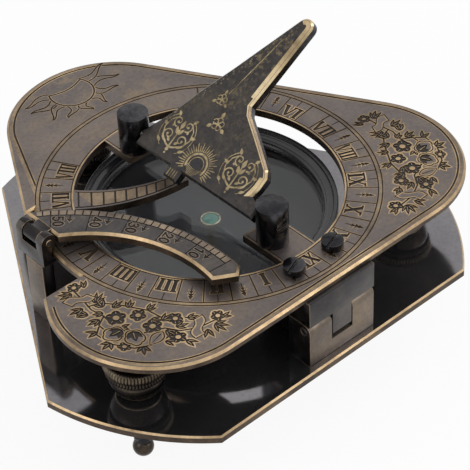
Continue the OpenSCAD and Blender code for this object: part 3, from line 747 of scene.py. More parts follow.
# The garland's forms are set out along the ring: u runs along it and v away from it
STEMS = [[(21.5, -2.0), (17.5, -1.0), (13, 1.0), (9, 1.5), (5.5, 3.5)],
         [(-20.5, -3.0), (-15.5, 0.2), (-11, 1.5), (-7, 1.0), (-2.5, 3.8)],
         [(9, 1.5), (8.4, 5.0), (5.2, 6.5)], [(-9.5, 1.2), (-8.2, 4.5), (-5.4, 6.8)],
         [(14.5, 0.6), (12.5, -2.2), (8.6, -3.6), (4.0, -4.2), (-0.8, -4.4), (-5.4, -2.6), (-9.0, -2.8)],
         [(8.2, 5.4), (7.4, 8.2), (3.4, 9.9), (-2.0, 9.6), (-5.4, 7.6)],
         [(-11.6, -3.4), (-14.4, -3.2), (-16.6, -0.6)]]
# Fans of leaves: u, v, direction, length, count and spread
SPRIGS = [(20.8, -0.9, 62, 3.2, 4, 30), (19.8, -4.4, -40, 2.6, 2, 30), (15.0, 1.6, 70, 3.4, 3, 30),
          (13.6, -1.4, -72, 3.6, 4, 28), (12.4, 3.0, 20, 3.2, 3, 30), (10.8, -1.2, -25, 3.2, 3, 40),
          (9.2, 3.0, 65, 3.0, 3, 30), (8.6, -2.0, -110, 3.2, 3, 30), (4.6, -3.6, -75, 2.8, 3, 34),
          (-0.6, -4.4, -120, 2.8, 3, 34), (-2.6, -1.2, 190, 3.0, 3, 30), (-5.6, -1.4, 235, 3.2, 3, 34),
          (-7.4, 1.6, 150, 3.0, 3, 34), (-9.6, 0.2, 205, 3.0, 3, 34), (-12.2, -3.2, 200, 2.6, 3, 34),
          (3.4, 3.4, 200, 2.0, 2, 60), (9.6, 0.6, 40, 2.4, 3, 30), (-12.6, 4.6, 150, 2.6, 2, 40),
          (-17.6, 0.6, 100, 2.8, 2, 46), (-19.4, -1.2, 150, 3.4, 4, 34), (-21.6, -3.6, 195, 2.2, 2, 44),
          (3.4, 9.4, 75, 2.6, 3, 44), (-3.6, 8.4, 110, 2.6, 3, 44), (7.6, 7.2, 50, 2.4, 2, 50),
          (-8.0, 5.6, 170, 2.2, 2, 50)]
# Five-petalled flowers: u, v, size and turn
FLOWERS = [(22.2, -2.9, 1.8, 0.3), (5.9, 0.8, 2.5, 0.2), (1.0, -2.0, 2.1, 0.6), (-3.9, 0.9, 2.4, 0.1),
           (-9.0, -2.8, 2.0, 0.5), (-10.8, 3.8, 2.0, 0.1), (-20.4, -4.0, 1.9, 0.4), (0.2, 9.7, 1.5, 0.4)]
# Ribbons: u, v, length, width and direction
RIBBONS = [(17.6, -0.9, 6.2, 2.3, 62), (-15.2, -0.8, 6.4, 2.4, 96)]


def lobed(u, v, rx, ry, rot, n=40):
    """The outline of an open bloom with five rounded petals."""
    pts = []
    for t in (TAU * k / n for k in range(n)):
        reach = 0.88 + 0.16 * abs(math.cos(2.5 * t))
        pts.append((rx * reach * math.cos(t), ry * reach * math.sin(t)))
    return placed(pts, u, v, rot)


def ribbon(u, v, length, width, deg):
    """A plain ribbon, curled at both ends."""
    top = [(length * (i / 12 - 0.5), width / 2 + 0.55 * math.sin(TAU * i / 12)) for i in range(13)]
    low = [(x + 1.3, y - width * (0.8 + 0.2 * math.sin(math.pi * i / 12)))
           for i, (x, y) in enumerate(top[::-1])]
    return ccw(placed(top + low, u, v, math.radians(deg)))


def garland(a0, side):
    """A swag of flowers, leaves and ribbon along the ring, about angle a0."""
    marks, halo, dark, light = [], [], [], []
    swag_r = 55.0

    def at(u, v):
        return point(0, 0, swag_r + v, math.radians(a0) + side * u / swag_r)

    def put(kind, polys):
        marks.extend((ccw([at(*q) for q in poly]), kind) for poly in polys)

    for line in STEMS:
        halo += stroke(line, 1.1)
        dark += stroke(line, 0.45)
    for u, v, deg, length, count, spread in SPRIGS:
        for k in range(count):
            rot = math.radians(deg + 0.85 * spread * (k - (count - 1) / 2))
            long = 1.3 * length * (1.0 if abs(2 * k - count + 1) < 2 else 0.8)
            c, s = math.cos(rot), math.sin(rot)
            halo.append(leaf(u - 0.4 * c, v - 0.4 * s, long + 0.85, 2.0, rot))
            dark.append(leaf(u, v, long, 1.12, rot))
            light += stroke(ray(u, v, 0.25 * long, 0.7 * long, rot), 0.17, 0.08)
    for u, v, size, turn in FLOWERS:
        turns = [turn + TAU * k / 5 for k in range(5)]
        petals = [point(u, v, 0.6 * size, a) for a in turns]
        r = size * 1.12
        halo += [blob(x, y, 0.46 * r + 0.38) for x, y in petals]
        dark += [blob(x, y, 0.42 * r) for x, y in petals]
        light.append(blob(u, v, 0.3 * r))
        for a in turns:
            light += stroke(ray(u, v, 0.5 * r, 0.8 * r, a), 0.14)
    put(BRIGHT, halo)
    put(CUT, dark)
    put(BRIGHT, light)
    # two great blooms, with lobed bright rims and dark throats
    for u, v, rx, ry, deg in ((3.9, 6.3, 2.75, 2.3, 60), (-1.0, 5.9, 2.75, 2.3, 120)):
        rot = math.radians(deg)
        c, s = math.cos(rot), math.sin(rot)
        for grow, kind in ((0.5, BRIGHT), (0.2, CUT), (-0.14, BRIGHT), (-0.5, PLAIN)):
            put(kind, [lobed(u, v, rx + grow, ry + grow, rot)])
        for turn, length, width in ((-36, 3.2, 1.6), (36, 3.2, 1.6), (0, 3.8, 1.9)):
            put(CUT, [leaf(u - 2.3 * c, v - 2.3 * s, length, width, rot + math.radians(turn))])
        put(BRIGHT, stroke([(u - 1.7 * c, v - 1.7 * s), (u + 0.6 * c, v + 0.6 * s)], 0.24, 0.1))
    # an open leaf with its midrib
    u, v, rot = -5.9, 5.0, math.radians(70)
    c, s = math.cos(rot), math.sin(rot)
    for grow, kind in ((0.5, BRIGHT), (0.2, CUT), (-0.14, BRIGHT), (-0.42, PLAIN)):
        half = 2.7 + grow
        put(kind, [leaf(u - half * c, v - half * s, 2 * half, 2.9 + 2 * grow, rot, 12)])
    put(CUT, stroke([(u - 1.9 * c, v - 1.9 * s), (u + 1.5 * c, v + 1.5 * s)], 0.3, 0.14))
    for form in RIBBONS:
        for grow, kind in ((0.42, CUT), (0.16, BRIGHT), (-0.2, PLAIN)):
            put(kind, [offset(ribbon(*form), grow)])
    return marks


def hour_plate():
    outer = hour_outline()
    cuts = [circle(0, 0, OPEN_R, 220)]
    cuts += [circle(x, DIAL_SCREW_Y, DIAL_SCREW_HOLE, 16) for x in (-DIAL_SCREW_X, DIAL_SCREW_X)]
    t0, t1, in_ring = TAB_X - TAB_HALF, TAB_X + TAB_HALF, 37
    adds = [box(t0, TAB_FAR, t1, in_ring), box(t0, -in_ring, t1, -TAB_NEAR), curved_bar()]
    marks = (border(outer) + hour_ring() + curved_bar_marks() + tab_borders(t0, t1) + sun()
             + garland(-32.2, 1) + garland(209.3, -1))
    # The hour plate's underside takes the painted shade.
    plate("hour_plate_engraved", outer, cuts, adds, DIAL_Z0, DIAL_Z1, 0.6, marks, 0.22,
          [BRONZE, WORN, GROOVE, INLAY, WORN, SIDE_BROWN, PAINTED_SHADE], "hour_plate",
          ["dial_plate"], low_bevel=0.35)


# Base plate

def foot_centre(which):
    return polar(FOOT_OUT, FOOT_ANGLES[which])


def base_plate():
    half = math.degrees(math.acos(BASE_FLAT / BASE_R))
    outer = []
    for a in (-90, 30, 150):
        outer += arc_pts(0, 0, BASE_R, a + half, a + 120 - half, 30)
    cuts = [circle(*foot_centre(which), FOOT_HOLE, 28) for which in FOOT_ANGLES]
    plate("base_plate_polished", outer, cuts, [], 0, BASE_T, 0.45, [], 0.1,
          [MIRROR, WORN, GROOVE, INLAY, WORN, SIDE_BROWN, DARK_BRASS], "base", ["base_plate"])


# Gnomon, drawn with x along its pivot line and y towards its tip

def gnomon_outline():
    e = POST_Y - POST_R - 0.3
    x, y = -0.75, 47.8
    return [(e, -3.3), (e, 1.2), (21.7, 4.2), (19.2, 8.6), (15.5, 18), (10.7, 28.2), (x + 2.35, y + 1.1),
            *arc_pts(x, y, 2.6, 25, 187, 14)[1:-1], (x - 2.6, y - 0.3), (-2.55, 32), (-2.05, 24), (-1.9, 22),
            (-3.3, 20), (-12, 14.4), (-18.4, 10.1), (-19.9, 7.9), (-19.9, 4.4), (-19.4, 2), (-20.6, 1.5),
            (-e, 1.4), (-e, -3.3), (4.2, -3.3), (4.2, -6.4), (9.2, -6.4), (9.2, -3.3)]


def flip(pts):
    return [(y, x) for x, y in pts]


def lines(pts, w=0.36, w1=None):
    return toned(INLAID, [ccw(flip(q)) for q in stroke(pts, w, w1)])


def shape(poly, kind=INLAID):
    return [(ccw(flip(poly)), kind)]


def spiral(cx, cy, r0, a0, turns, w):
    """A curl that closes in by turns, with a dot at its end."""
    n = 22
    pts = [point(cx, cy, r0 * (1 - 0.82 * (i / n)), a0 + turns * TAU * (i / n)) for i in range(n + 1)]
    return lines(pts, w, w * 0.6) + shape(blob(*pts[-1], 0.4, n=10))


def scroll(cx, cy):
    """Two opposed curls that rise from a small heart, with leaves."""
    marks = []
    for k in (-1, 1):
        marks += spiral(cx + k * 2.45, cy - 0.9, 2.1, math.radians(-90), 1.25 * k, 0.5)
        marks += spiral(cx + k * 1.9, cy + 3.6, 1.7, math.radians(-100 if k > 0 else -80), 1.1 * k, 0.46)
        marks += lines(arc_pts(cx, cy + 0.4, 5.9, 90 - k * 30, 90 - k * 150, 16), 0.3, 0.2)
        marks += shape(leaf(cx + k * 3.6, cy - 3.9, 2.0, 0.95, math.radians(90 - k * 60)))
        marks += shape(leaf(cx + k * 0.9, cy - 2.6, 1.8, 0.85, math.radians(90 - k * 50)))
        pts = [(cx, cy - 4.0), (cx + k * 1.6, cy - 3.4), (cx + k * 3.8, cy - 2.0), (cx + k * 5.0, cy + 0.4),
               (cx + k * 4.4, cy + 3.0), (cx + k * 2.6, cy + 4.9)]
        marks += lines(pts, 0.6, 0.34)
        for x, y, length, width, turn in ((0.2, 0.2, 2.5, 1.1, 28), (4.5, 1.2, 2.0, 1.0, 75),
                                          (2.6, 5.0, 2.0, 1.0, 40)):
            marks += shape(leaf(cx + k * x, cy + y, length, width, math.radians(90 - k * turn)))
        marks += shape(blob(cx + k * 2.9, cy + 1.9, 0.42, n=10))
    marks += lines([(cx, cy - 4.9), (cx, cy + 2.2)], 0.6, 0.4)
    marks += shape(leaf(cx, cy + 2.0, 2.8, 1.4, math.pi / 2))
    return marks + shape(blob(cx, cy - 4.6, 0.6, n=10)) + shape(blob(cx, cy - 5.7, 0.36, n=10))


def half_sun(sx, sy):
    """A half sun over the lower edge, with long and short rays and a hatched foot."""
    marks = lines(arc_pts(sx, sy, 3.4, -28, 208, 26), 0.7) + lines(arc_pts(sx, sy, 2.4, -20, 200, 20), 0.3)
    for k in range(31):
        marks += lines(ray(sx, sy, 4.0, 6.6 if k % 2 else 5.7, math.radians(-30 + 240 * k / 30)), 0.44, 0.2)
    for k in range(7):
        y = -0.2 - 0.42 * k
        marks += lines([(sx - 3.0 + 0.4 * k, y), (sx + 0.2, y - 0.5), (sx + 3.2 - 0.3 * k, y + 0.1)], 0.18)
    return marks


def floret(cx, cy, r):
    """Five open petals round a dot, and three leaves."""
    marks = []
    for a in (TAU * k / 5 + 0.3 for k in range(5)):
        marks += lines(arc_pts(*point(cx, cy, 0.6 * r, a), 0.42 * r, 0, 330, 10), 0.36)
    marks += shape(blob(cx, cy, 0.26 * r, n=10))
    for a in (TAU * k / 3 - 0.6 for k in range(3)):
        marks += shape(leaf(*point(cx, cy, r, a), r, 0.6 * r, a))
    return marks


def painted_edge_highlight(outline):
    """A painted highlight along the edge on the hour side, broad towards the tip and near the foot, narrow
    between.
    """
    near, far = offset(outline, -0.66), offset(outline, -1.95)
    marks = []
    for i, p in enumerate(outline):
        j = (i + 1) % len(outline)
        q = outline[j]
        if min(p[0], q[0]) < 1.9 or any(y > 1.5 or (x < 5 and y > -19) for x, y in (p, q)):
            continue
        share = 1.0 if max(p[0], q[0]) > 24 or max(p[0], q[0]) < 9 else 0.3
        a, b = (tuple(Vector(near[k]) + (Vector(far[k]) - Vector(near[k])) * share) for k in (i, j))
        marks.append((ccw([near[i], near[j], b, a]), BRIGHT))
    return marks


def gnomon():
    outline = flip(gnomon_outline())
    marks = scroll(13.0, 4.6) + scroll(-11.4, 4.7) + half_sun(1.5, 0.6)
    marks += floret(3.6, 13.2, 1.9) + floret(7.4, 19.4, 1.6)
    # the long stem, and the worn dots along the long edge
    marks += lines([(6.6, 21.6), (4.5, 32), (2.6, 41.5)], 0.34)
    marks += lines([(2.6, 41.5), (1.3, 43.6), (0.9, 41.2), (-0.4, 43.0), (-1.2, 41.6)], 0.24)
    for k in range(58):
        t = k / 57
        across = 20.0 - 18.0 * t - (1.0 + 0.7 * math.sin(k * 2.4))
        marks += shape(blob(across, 7 + 38 * t, 0.3 + 0.12 * math.sin(k * 1.7), n=6), HAZE)
    marks += painted_edge_highlight(ccw(outline))
    # teeth of the small lug
    for k in range(6):
        marks += lines([(4.5 + 0.86 * k, -6.1), (4.5 + 0.86 * k, -3.6)], 0.3)
    matrix = Matrix.Translation((POST_X, 0, PIVOT_Z)) @ Matrix.Rotation(-LEAN, 4, "Y")
    ob = plate("gnomon_engraved", outline, [], [], -1.5, 1.5, 0.55, marks, 0.16,
               [BLADE, HIGHLIGHT_BRASS, GROOVE, INLAY, HIGHLIGHT_BRASS, STEEL, BLADE], "gnomon",
               ["gnomon_blade"], matrix, low_bevel=0.3)
    # the chamfer carries a painted highlight on the hour side alone, duller along its middle
    back = matrix.inverted()
    for face in ob.data.polygons:
        c = back @ (face.center / S)
        if face.material_index == CHAMFER and (c.y > 1.5 or c.x < 1.9):
            face.material_index = PLAIN
        elif face.material_index == CHAMFER and 9 < c.x < 22:
            face.material_index = BAND


# Latitude arc: centre and radius of its outer and inner circle, and the x of its root

ARC_OUT, ARC_OUT_R = (-76.0, -26.0), 57.7
ARC_IN, ARC_IN_R = (-66.1, -24.4), 39.4
ARC_ROOT = -44.9
ARC_PIN_X = -47.6


def angle_at(centre, x, y):
    return math.degrees(math.atan2(y - centre[1], x - centre[0]))


def root_angle(centre, r):
    """Where a circle meets the line across the arc's root."""
    return angle_at(centre, ARC_ROOT, centre[1] + math.sqrt(r ** 2 - (ARC_ROOT - centre[0]) ** 2))


def arc_scale(start):
    """Single degrees along the outer edge, numbered tens and an arrow in each field."""
    lane, zero, step = ARC_OUT_R - 2.75, -4.3, 11.0

    def at(r, degrees, across=0.0):
        t = math.radians(degrees)
        x, y = point(*ARC_OUT, r, t)
        return (x - across * math.sin(t), y + across * math.cos(t))

    marks = toned(BRIGHT, stroke(arc_pts(*ARC_OUT, ARC_OUT_R - 1.78, start + 2.4, 54.5, 70), 1.86))
    marks += toned(CUT, stroke(arc_pts(*ARC_OUT, lane, start + 2.4, 54.5, 80), 0.34))
    for k in range(27):
        a = zero + step * k / 5
        marks += toned(CUT, stroke([at(lane, a), at(ARC_OUT_R - 0.86, a)], 0.36 if k % 5 else 0.42))
    for k in range(6):
        a = zero + step * k
        top = Vector(at(lane, a))
        inward = (Vector(ARC_OUT) - top).normalized()
        length = 1.0
        while (top + inward * length - Vector(ARC_IN)).length > ARC_IN_R + 0.95 and length < 12:
            length += 0.1
        marks += toned(CUT, stroke([tuple(top), tuple(top + inward * length)], 0.28))
        c, s = math.cos(math.radians(a)), math.sin(math.radians(a))
        if k:
            figure = number(str(10 * k), at(lane - 2.7, a - 2.15), (-c, -s), (s, -c), 1.16, 0.54)
            marks += outlined(figure, 0.2)
        if k < 5:
            b = a + step / 2
            head = [at(lane - 3.0, b), at(lane - 1.3, b, 0.95), at(lane - 1.7, b), at(lane - 1.3, b, -0.95)]
            marks += outlined([head], 0.18) + toned(CUT, stroke([at(lane, b), at(lane - 1.8, b)], 0.34))
    return marks


def arc_knuckle():
    """The knuckle and neck that turn on the pin, with eased ends."""
    px, pz = ARC_PIN_X, ARC_TOP - ARC_T / 2
    y0, y1, ease = 12.15, 17.85, 0.2
    prof = [point(px, pz, 2.2, math.radians(90 + 180 * i / 16)) for i in range(17)]
    prof += [(px + 0.6, pz - 1.4), (ARC_ROOT + 0.6, pz - 1.4), (ARC_ROOT + 0.6, pz + 1.35),
             (px + 1.4, pz + 1.35)]
    n = len(prof)
    verts = []
    for y, k in ((y0, 0.94), (y0 + ease, 1.0), (y1 - ease, 1.0), (y1, 0.94)):
        verts += [(px + (x - px) * k, y, pz + (z - pz) * k) for x, z in prof]
    faces = tube_faces(4, n) + [list(range(n))[::-1], [3 * n + i for i in range(n)]]
    mids = [1] * n + [0] * n + [1] * n + [0, 0]
    # The knuckle's body and end faces take the painted shade; its eased ends are rubbed bronze.
    build("latitude_arc_knuckle", verts, faces, [PAINTED_SHADE, SOFT], mids, "arc")


def latitude_arc():
    start = angle_at(ARC_OUT, -18.75, -33.0)
    outline = arc_pts(*ARC_OUT, ARC_OUT_R, start, root_angle(ARC_OUT, ARC_OUT_R), 60)
    outline += arc_pts(*ARC_IN, ARC_IN_R, root_angle(ARC_IN, ARC_IN_R), angle_at(ARC_IN, -27.4, -32.0), 50)
    outline.append((-21.6, -35.6))
    plate("latitude_arc_engraved", outline, [], [], ARC_TOP - ARC_T, ARC_TOP, 0.65, arc_scale(start), 0.2,
          [GREY_BRONZE, LADDER, GROOVE, INLAY, WORN, SIDE_BROWN, SIDE_BROWN], "arc",
          ["latitude_arc"], low_bevel=0.3)
    arc_knuckle()


# Levelling screws

def thumb_wheel(which):
    """A bowl with a narrow knurl and a broad one above it."""
    z0, h, ribs = WHEEL_Z, WHEEL_H, 60
    prof, mids, knurl = [], [], set()

    def add(r, z, material=0):
        prof.append((r, z))
        mids.append(material)

    add(2.45, z0)
    # a pale ring at the foot of the bowl, a painted glint
    add(5.7, z0, 2)
    add(6.1, z0 + 0.25, 2)
    for i in range(7):
        u = i / 6
        add(6.15 + (7.7 - 6.15) * math.sin(u * math.pi / 2), z0 + 0.4 + 4.6 * u)
    add(7.55, z0 + 5.25)
    add(7.2, z0 + 5.5)
    add(7.2, z0 + 5.8)
    for i in range(9):
        knurl.add(len(prof))
        add(8.15 + 0.25 * math.sin(math.pi * i / 8), z0 + 5.9 + 1.5 * i / 8)
    add(7.6, z0 + 7.5)
    add(7.6, z0 + 7.65)
    for i in range(13):
        knurl.add(len(prof))
        add(8.45 + 0.4 * math.sin(math.pi * i / 12), z0 + 7.75 + 2.5 * i / 12, 1)
    for r, z in ((8.2, 10.35), (7.9, 10.7), (7.4, h), (3.4, h), (3.1, h - 0.25), (2.45, h - 0.3)):
        add(r, z0 + z)

    def ribbed(k, r, z, a):
        return r - 0.42 * (1 - abs(math.sin(a * ribs / 2)) ** 0.7) if k in knurl else r

    revolve("thumb_wheel_" + which + "_knurled", prof, ribs * 6, [DARK_BRASS, KNURL, PALE], mids,
            "screw_" + which, ["thumb_wheel_" + which], foot_centre(which), ribbed, angle=40)


def level_stem(which):
    """The threaded stem, from inside the ball foot's neck to above its wheel."""
    bottom, top = BALL_BOTTOM + 2 * BALL_R - 0.4, WHEEL_Z + WHEEL_H + 0.6
    pitch = 1.06
    steps = int((top - 0.5 - bottom) / (pitch / 7))
    prof = [(1.3, bottom + 0.02), (1.95, bottom)]
    prof += [(2.38, bottom + 0.35 + (top - 0.9 - bottom) * i / steps) for i in range(steps + 1)]
    prof += [(2.2, top - 0.25), (1.9, top), (0.02, top)]

    def thread(k, r, z, a):
        if not 2 <= k <= steps + 2 or z >= WHEEL_Z + WHEEL_H:
            return r
        phase = (z / pitch - a / TAU) % 1.0
        return r - 0.34 * abs(2 * phase - 1) * min(1.0, (k - 2) / 8.0)

    revolve("level_stem_" + which + "_threaded", prof, 28, [STEEL], 0, "screw_" + which,
            ["level_stem_" + which], foot_centre(which), thread, angle=25)


def ball_foot(which):
    """The ball, flat where it stands, and its neck."""
    z0, b = BALL_BOTTOM, BALL_R
    prof = [(0.02, FLOOR_Z), (1.0, FLOOR_Z)]
    for i in range(1, 22):
        a = math.radians(-68.5 + (90 + 68.5 - 24) * i / 21)
        prof.append((b * math.cos(a), z0 + b + b * math.sin(a)))
    prof += [(r, z0 + 2 * b + z) for r, z in ((1.2, -0.55), (1.2, 3.5), (0.9, 3.8), (0.02, 3.8))]
    revolve("ball_foot_" + which + "_turned", prof, 48, [DARK_BRASS], 0, "foot_" + which,
            ["ball_foot_" + which], foot_centre(which))


# Compass

CARD_Z, CARD_T, CARD_R = 5.5, 0.6, 30.4
NEEDLE_Z, NEEDLE_T = 14.0, 0.7


def quarter(r0, z0, dr, dz, n, steps=None):
    """Points along a quarter round, from (r0 + dr, z0) to (r0, z0 + dz)."""
    turns = [math.radians(90 * i / n) for i in steps or range(n + 1)]
    return [(r0 + dr * math.cos(t), z0 + dz * math.sin(t)) for t in turns]


def compass_card():
    """A disc with fine divisions and printed letters."""
    marks = toned(BRIGHT, ring(27.6, 0.22, 160) + ring(29.6, 0.22, 160))
    for k in range(72):
        marks += toned(BRIGHT, stroke(ray(0, 0, 28.0 if k % 2 else 27.6, 29.6, math.radians(5 * k)), 0.16))
    for ch, a in (("N", 122), ("E", 32), ("S", 302), ("W", 212)):
        t = math.radians(a)
        for line in COMPASS_LETTERS[ch]:
            marks += toned(BRIGHT, stroke(placed(line, *polar(9.6, a), t - math.pi / 2), 0.42))
    plate("compass_card_printed", circle(0, 0, CARD_R, 120), [], [], CARD_Z - CARD_T, CARD_Z, 0.1, marks,
          0.05, [CARD, CARD_MARK, CARD, CARD, CARD, CARD, CARD], "base", ["compass_card"],
          low_bevel=0.05)


def compass_needle():
    """A long blued lozenge with a raised ridge."""
    z, t = NEEDLE_Z, NEEDLE_T
    verts = [(0, -25, z), (1.9, 0, z), (0, 25, z), (-1.9, 0, z),
             (0, -24.6, z + 0.35), (1.8, 0, z + 0.35), (0, 24.6, z + 0.35), (-1.8, 0, z + 0.35),
             (0, -3.2, z + t), (0.0, 3.2, z + t)]
    faces = [(3, 2, 1, 0), (0, 1, 5, 4), (1, 2, 6, 5), (2, 3, 7, 6), (3, 0, 4, 7),
             (4, 5, 8), (4, 8, 7), (5, 6, 9), (6, 7, 9), (5, 9, 8), (7, 8, 9)]
    build("compass_needle_ground", verts, faces, [BLUED], [0] * len(faces), "needle",
          ["compass_needle"], angle=5)


def needle_cap():
    """The pale collar on the needle, and the polished stone in it."""
    z = NEEDLE_Z + NEEDLE_T
    prof = [(2.15, z), (2.9, z), (2.9, z + 0.8)]
    for t in (math.pi * i / 8 for i in range(9)):
        prof.append((2.62 + 0.28 * math.cos(t), z + 0.85 + 0.35 * math.sin(t)))
    prof.append((2.3, z + 0.6))
    revolve("needle_collar_turned", prof, 56, [PALE], 0, "needle", ["needle_collar"])
    prof = [(0.55, z + 0.02), (2.2, z + 0.02), (2.28, z + 0.9)]
    prof += quarter(0, z + 0.9, 2.28, 0.58, 10, range(1, 10)) + [(0.01, z + 1.48)]
    revolve("needle_cap_polished", prof, 56, [STONE], 0, "needle", ["needle_cap"])


def compass_glass():
    """A thin pane with eased edges."""
    z0, z1, r, ease = 17.4, 18.6, 32.4, 0.2
    prof = [(0.01, z0), (r - ease, z0), (r, z0 + ease), (r, z1 - ease), (r - ease, z1), (0.01, z1)]
    pane = revolve("compass_glass_pane", prof, 160, [GLASS], 0, "base", ["compass_glass"],
                   angle=20)
    pane.visible_shadow = False
    pane.visible_diffuse = False


def compass_case():
    """The drum, satin inside and glossy outside, and the bezel turned with small steps."""
    prof = [(31.0, 5.0), (31.0, 17.4), (32.6, 17.4), (32.6, 19.55), (34.9, 19.55), (35.15, 19.3),
            (35.15, 3.6), (35.2, 3.2), (35.2, 2.55), (0.9, 2.55), (0.9, 4.9), (31.0, 4.9)]
    inside = 4
    mids = [0] * inside + [1] * (len(prof) - 1 - inside)
    revolve("compass_case_turned", prof, 200, [BORE, BLACK], mids, "base",
            ["compass_case"], angle=30)
    prof = [(30.7, 18.65), (32.5, 18.65), (32.5, 19.62), (34.95, 19.62), (35.2, 19.85), (35.2, 21.6)]
    prof += quarter(34.85, 21.85, 0.35, 0.35, 6) + [(34.0, 22.2), (33.75, 21.95), (33.6, 21.4)]
    for t in (math.radians(90 * i / 8) for i in range(9)):
        prof.append((33.4 - 1.5 * math.sin(t), 21.3 - 0.5 * (1 - math.cos(t))))
    prof += [(31.5, 20.6), (31.2, 20.2), (30.9, 19.6), (30.7, 19.2), (30.7, 18.65)]
    revolve("compass_bezel_turned", prof, 200, [BLACK], 0, "base", ["compass_bezel"],
            angle=30)


# Hinge, posts and screws

def hinge_pin():
    """A pin along x with slightly domed ends."""
    y, z, r, half, dome = -49.0, 13.8, 1.1, 11.75, 0.12
    prof = []
    for t in (math.pi / 2 * i / 8 for i in range(9)):
        prof.append((r * math.sin(t), -half - dome + 0.22 * (1 - math.cos(t))))
    prof += [(r, 0)] + [(d, -x) for d, x in prof[::-1]]
    n = 32
    verts = []
    for d, x in prof:
        verts += [(x, *point(y, z, d, TAU * i / n)) for i in range(n)]
    faces = tube_faces(len(prof), n)
    build("hinge_pin_domed", verts, faces, [GREY], [0] * len(faces), "base", ["hinge_pin"])


def fittings():
    ends, front, top = [(1, 0, 0), (-1, 0, 0)], [(0, -1, 0), (0, 1, 0)], [(0, 0, 1)]

    def between_ears(c):
        return abs(c.x) < 11.3

    brown, grey = [HINGE_LOW, SOFT, PAINTED_SHADE], [GREY, SOFT, PAINTED_SHADE]
    # The hinge blocks' end faces, and their worn corners between the ears, take painted shade.
    dress("hinge_lower_block", brown, 0.28, ends, between_ears)
    dress("hinge_upper_block", grey, 0.28, ends, between_ears)
    # The bracket's front and top faces, and the rest post's front faces, take painted shade.
    dress("arc_bracket", grey, 0.25, front + top)
    dress("rest_post", brown, 0.3, front)
    steel = [STEEL, STEEL_EDGE]
    for node, width in (("gnomon_post_far", 0.25), ("gnomon_post_near", 0.25), ("gnomon_pivot_screws", 0.1),
                        ("dial_screws", 0.2)):
        dress(node, steel, width)
    dress("arc_pin", [GREY, WORN], 0.2)
    dress("needle_pivot", [PALE], 0)
    for node in ("case_screws", "hinge_base_screws", "post_screws", "rest_post_screw", "arc_bracket_screws"):
        dress(node, steel, 0.06)
    hinge_pin()


# Stage, light and camera

def seen(tree):
    """1 for rays that show the background: straight, in a reflection or through glass."""
    path = add_node(tree, "LightPath")
    total = path.outputs["Is Camera Ray"]
    for name in ("Is Glossy Ray", "Is Transmission Ray"):
        add = add_node(tree, "Math")
        add.use_clamp = True
        tree.links.new(total, add.inputs[0])
        tree.links.new(path.outputs[name], add.inputs[1])
        total = add.outputs[0]
    return total


def by_ray(tree, output, share, lit, shown):
    """Joins what lights the object and what the background shows, in the share of the second."""
    mixer = add_node(tree, "MixShader")
    for source, socket in ((share, "Fac"), (lit.outputs[0], 1), (shown.outputs[0], 2)):
        tree.links.new(source, mixer.inputs[socket])
    tree.links.new(mixer.outputs[0], add_node(tree, output).inputs["Surface"])


def floor():
    """A pale floor that keeps the object's shadow."""
    size, z = 4, FLOOR_Z * S
    me = bpy.data.meshes.new("floor")
    me.from_pydata([(x, y, z) for x, y in box(-size, -size, size, size)], [], [(0, 1, 2, 3)])
    ob = bpy.data.objects.new("floor", me)
    bpy.context.scene.collection.objects.link(ob)
    mat = bpy.data.materials.new("pale_floor")
    mat.use_nodes = True
    tree = mat.node_tree
    tree.nodes.clear()
    share = add_node(tree, "Math")
    share.operation = "MULTIPLY"
    share.inputs[1].default_value = 0.92
    tree.links.new(seen(tree), share.inputs[0])
    by_ray(tree, "OutputMaterial", share.outputs[0], add_node(tree, "BsdfDiffuse", Color=(0.9, 0.9, 0.9, 1)),
           add_node(tree, "Emission", Strength=1.0))
    me.materials.append(mat)


def world():
    """Soft light from all round, which shows as plain white."""
    sky = bpy.data.worlds.new("soft_world")
    bpy.context.scene.world = sky
    sky.use_nodes = True
    tree = sky.node_tree
    tree.nodes.clear()
    by_ray(tree, "OutputWorld", seen(tree),
           add_node(tree, "Background", Color=(0.97, 0.98, 1.0, 1), Strength=0.6),
           add_node(tree, "Background", Color=(1, 1, 1, 1), Strength=1.0))


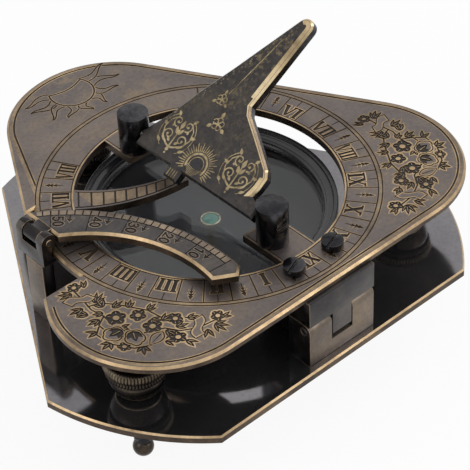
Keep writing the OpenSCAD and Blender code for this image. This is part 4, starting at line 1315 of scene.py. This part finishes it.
def area_light(name, place, size, energy):
    """A soft lamp that faces the object, in metres and watts."""
    data = bpy.data.lights.new(name, "AREA")
    data.shape = "RECTANGLE"
    data.size, data.size_y = size
    data.energy = energy
    ob = bpy.data.objects.new(name, data)
    bpy.context.scene.collection.objects.link(ob)
    ob.visible_transmission = False
    ob.location = place
    ob.rotation_euler = (Vector((0, 0, 0.02)) - Vector(place)).to_track_quat("-Z", "Y").to_euler()


def camera():
    """The photograph's view, whose distances were fitted in radii of the hour ring."""
    ring_r, image_w, focal_px = 47, 470, 2000
    az, el, roll = (math.radians(v) for v in (-40.856, 40.689, -2.591))
    dist, tx, ty = 11.556 * ring_r, 0.151 * ring_r, -0.273 * ring_r
    back = Vector((math.sin(az) * math.cos(el), -math.cos(az) * math.cos(el), math.sin(el)))
    right = Vector((math.cos(az), math.sin(az), 0))
    up = back.cross(right)
    c, s = math.cos(roll), math.sin(roll)
    x, y = right * c + up * s, -right * s + up * c
    pos = x * tx + y * ty + back * dist + Vector((0, 0, DIAL_Z1))
    data = bpy.data.cameras.new("camera")
    data.sensor_width = 36
    data.lens = 36 * focal_px / image_w
    data.clip_start, data.clip_end = 0.01, 20
    cam = bpy.data.objects.new("camera", data)
    m = Matrix((x, y, back)).transposed().to_4x4()
    m.translation = pos * S
    cam.matrix_world = m
    bpy.context.scene.collection.objects.link(cam)
    bpy.context.scene.camera = cam


hour_plate()
base_plate()
gnomon()
latitude_arc()
for foot in FOOT_ANGLES:
    thumb_wheel(foot)
    level_stem(foot)
    ball_foot(foot)
compass_card()
compass_needle()
needle_cap()
compass_glass()
compass_case()
fittings()

floor()
world()
area_light("top_soft", (0.75, -0.3, 0.85), (0.5, 0.5), 2.5)
area_light("side_soft", (0.95, 0.15, 0.5), (0.4, 0.5), 1.0)
area_light("left_soft", (-0.75, 0.1, 0.45), (0.4, 0.5), 1.2)
area_light("front_soft", (0.35, -0.75, 0.45), (0.4, 0.5), 1.5)
camera()
scene = bpy.context.scene
scene.view_settings.view_transform = "Standard"
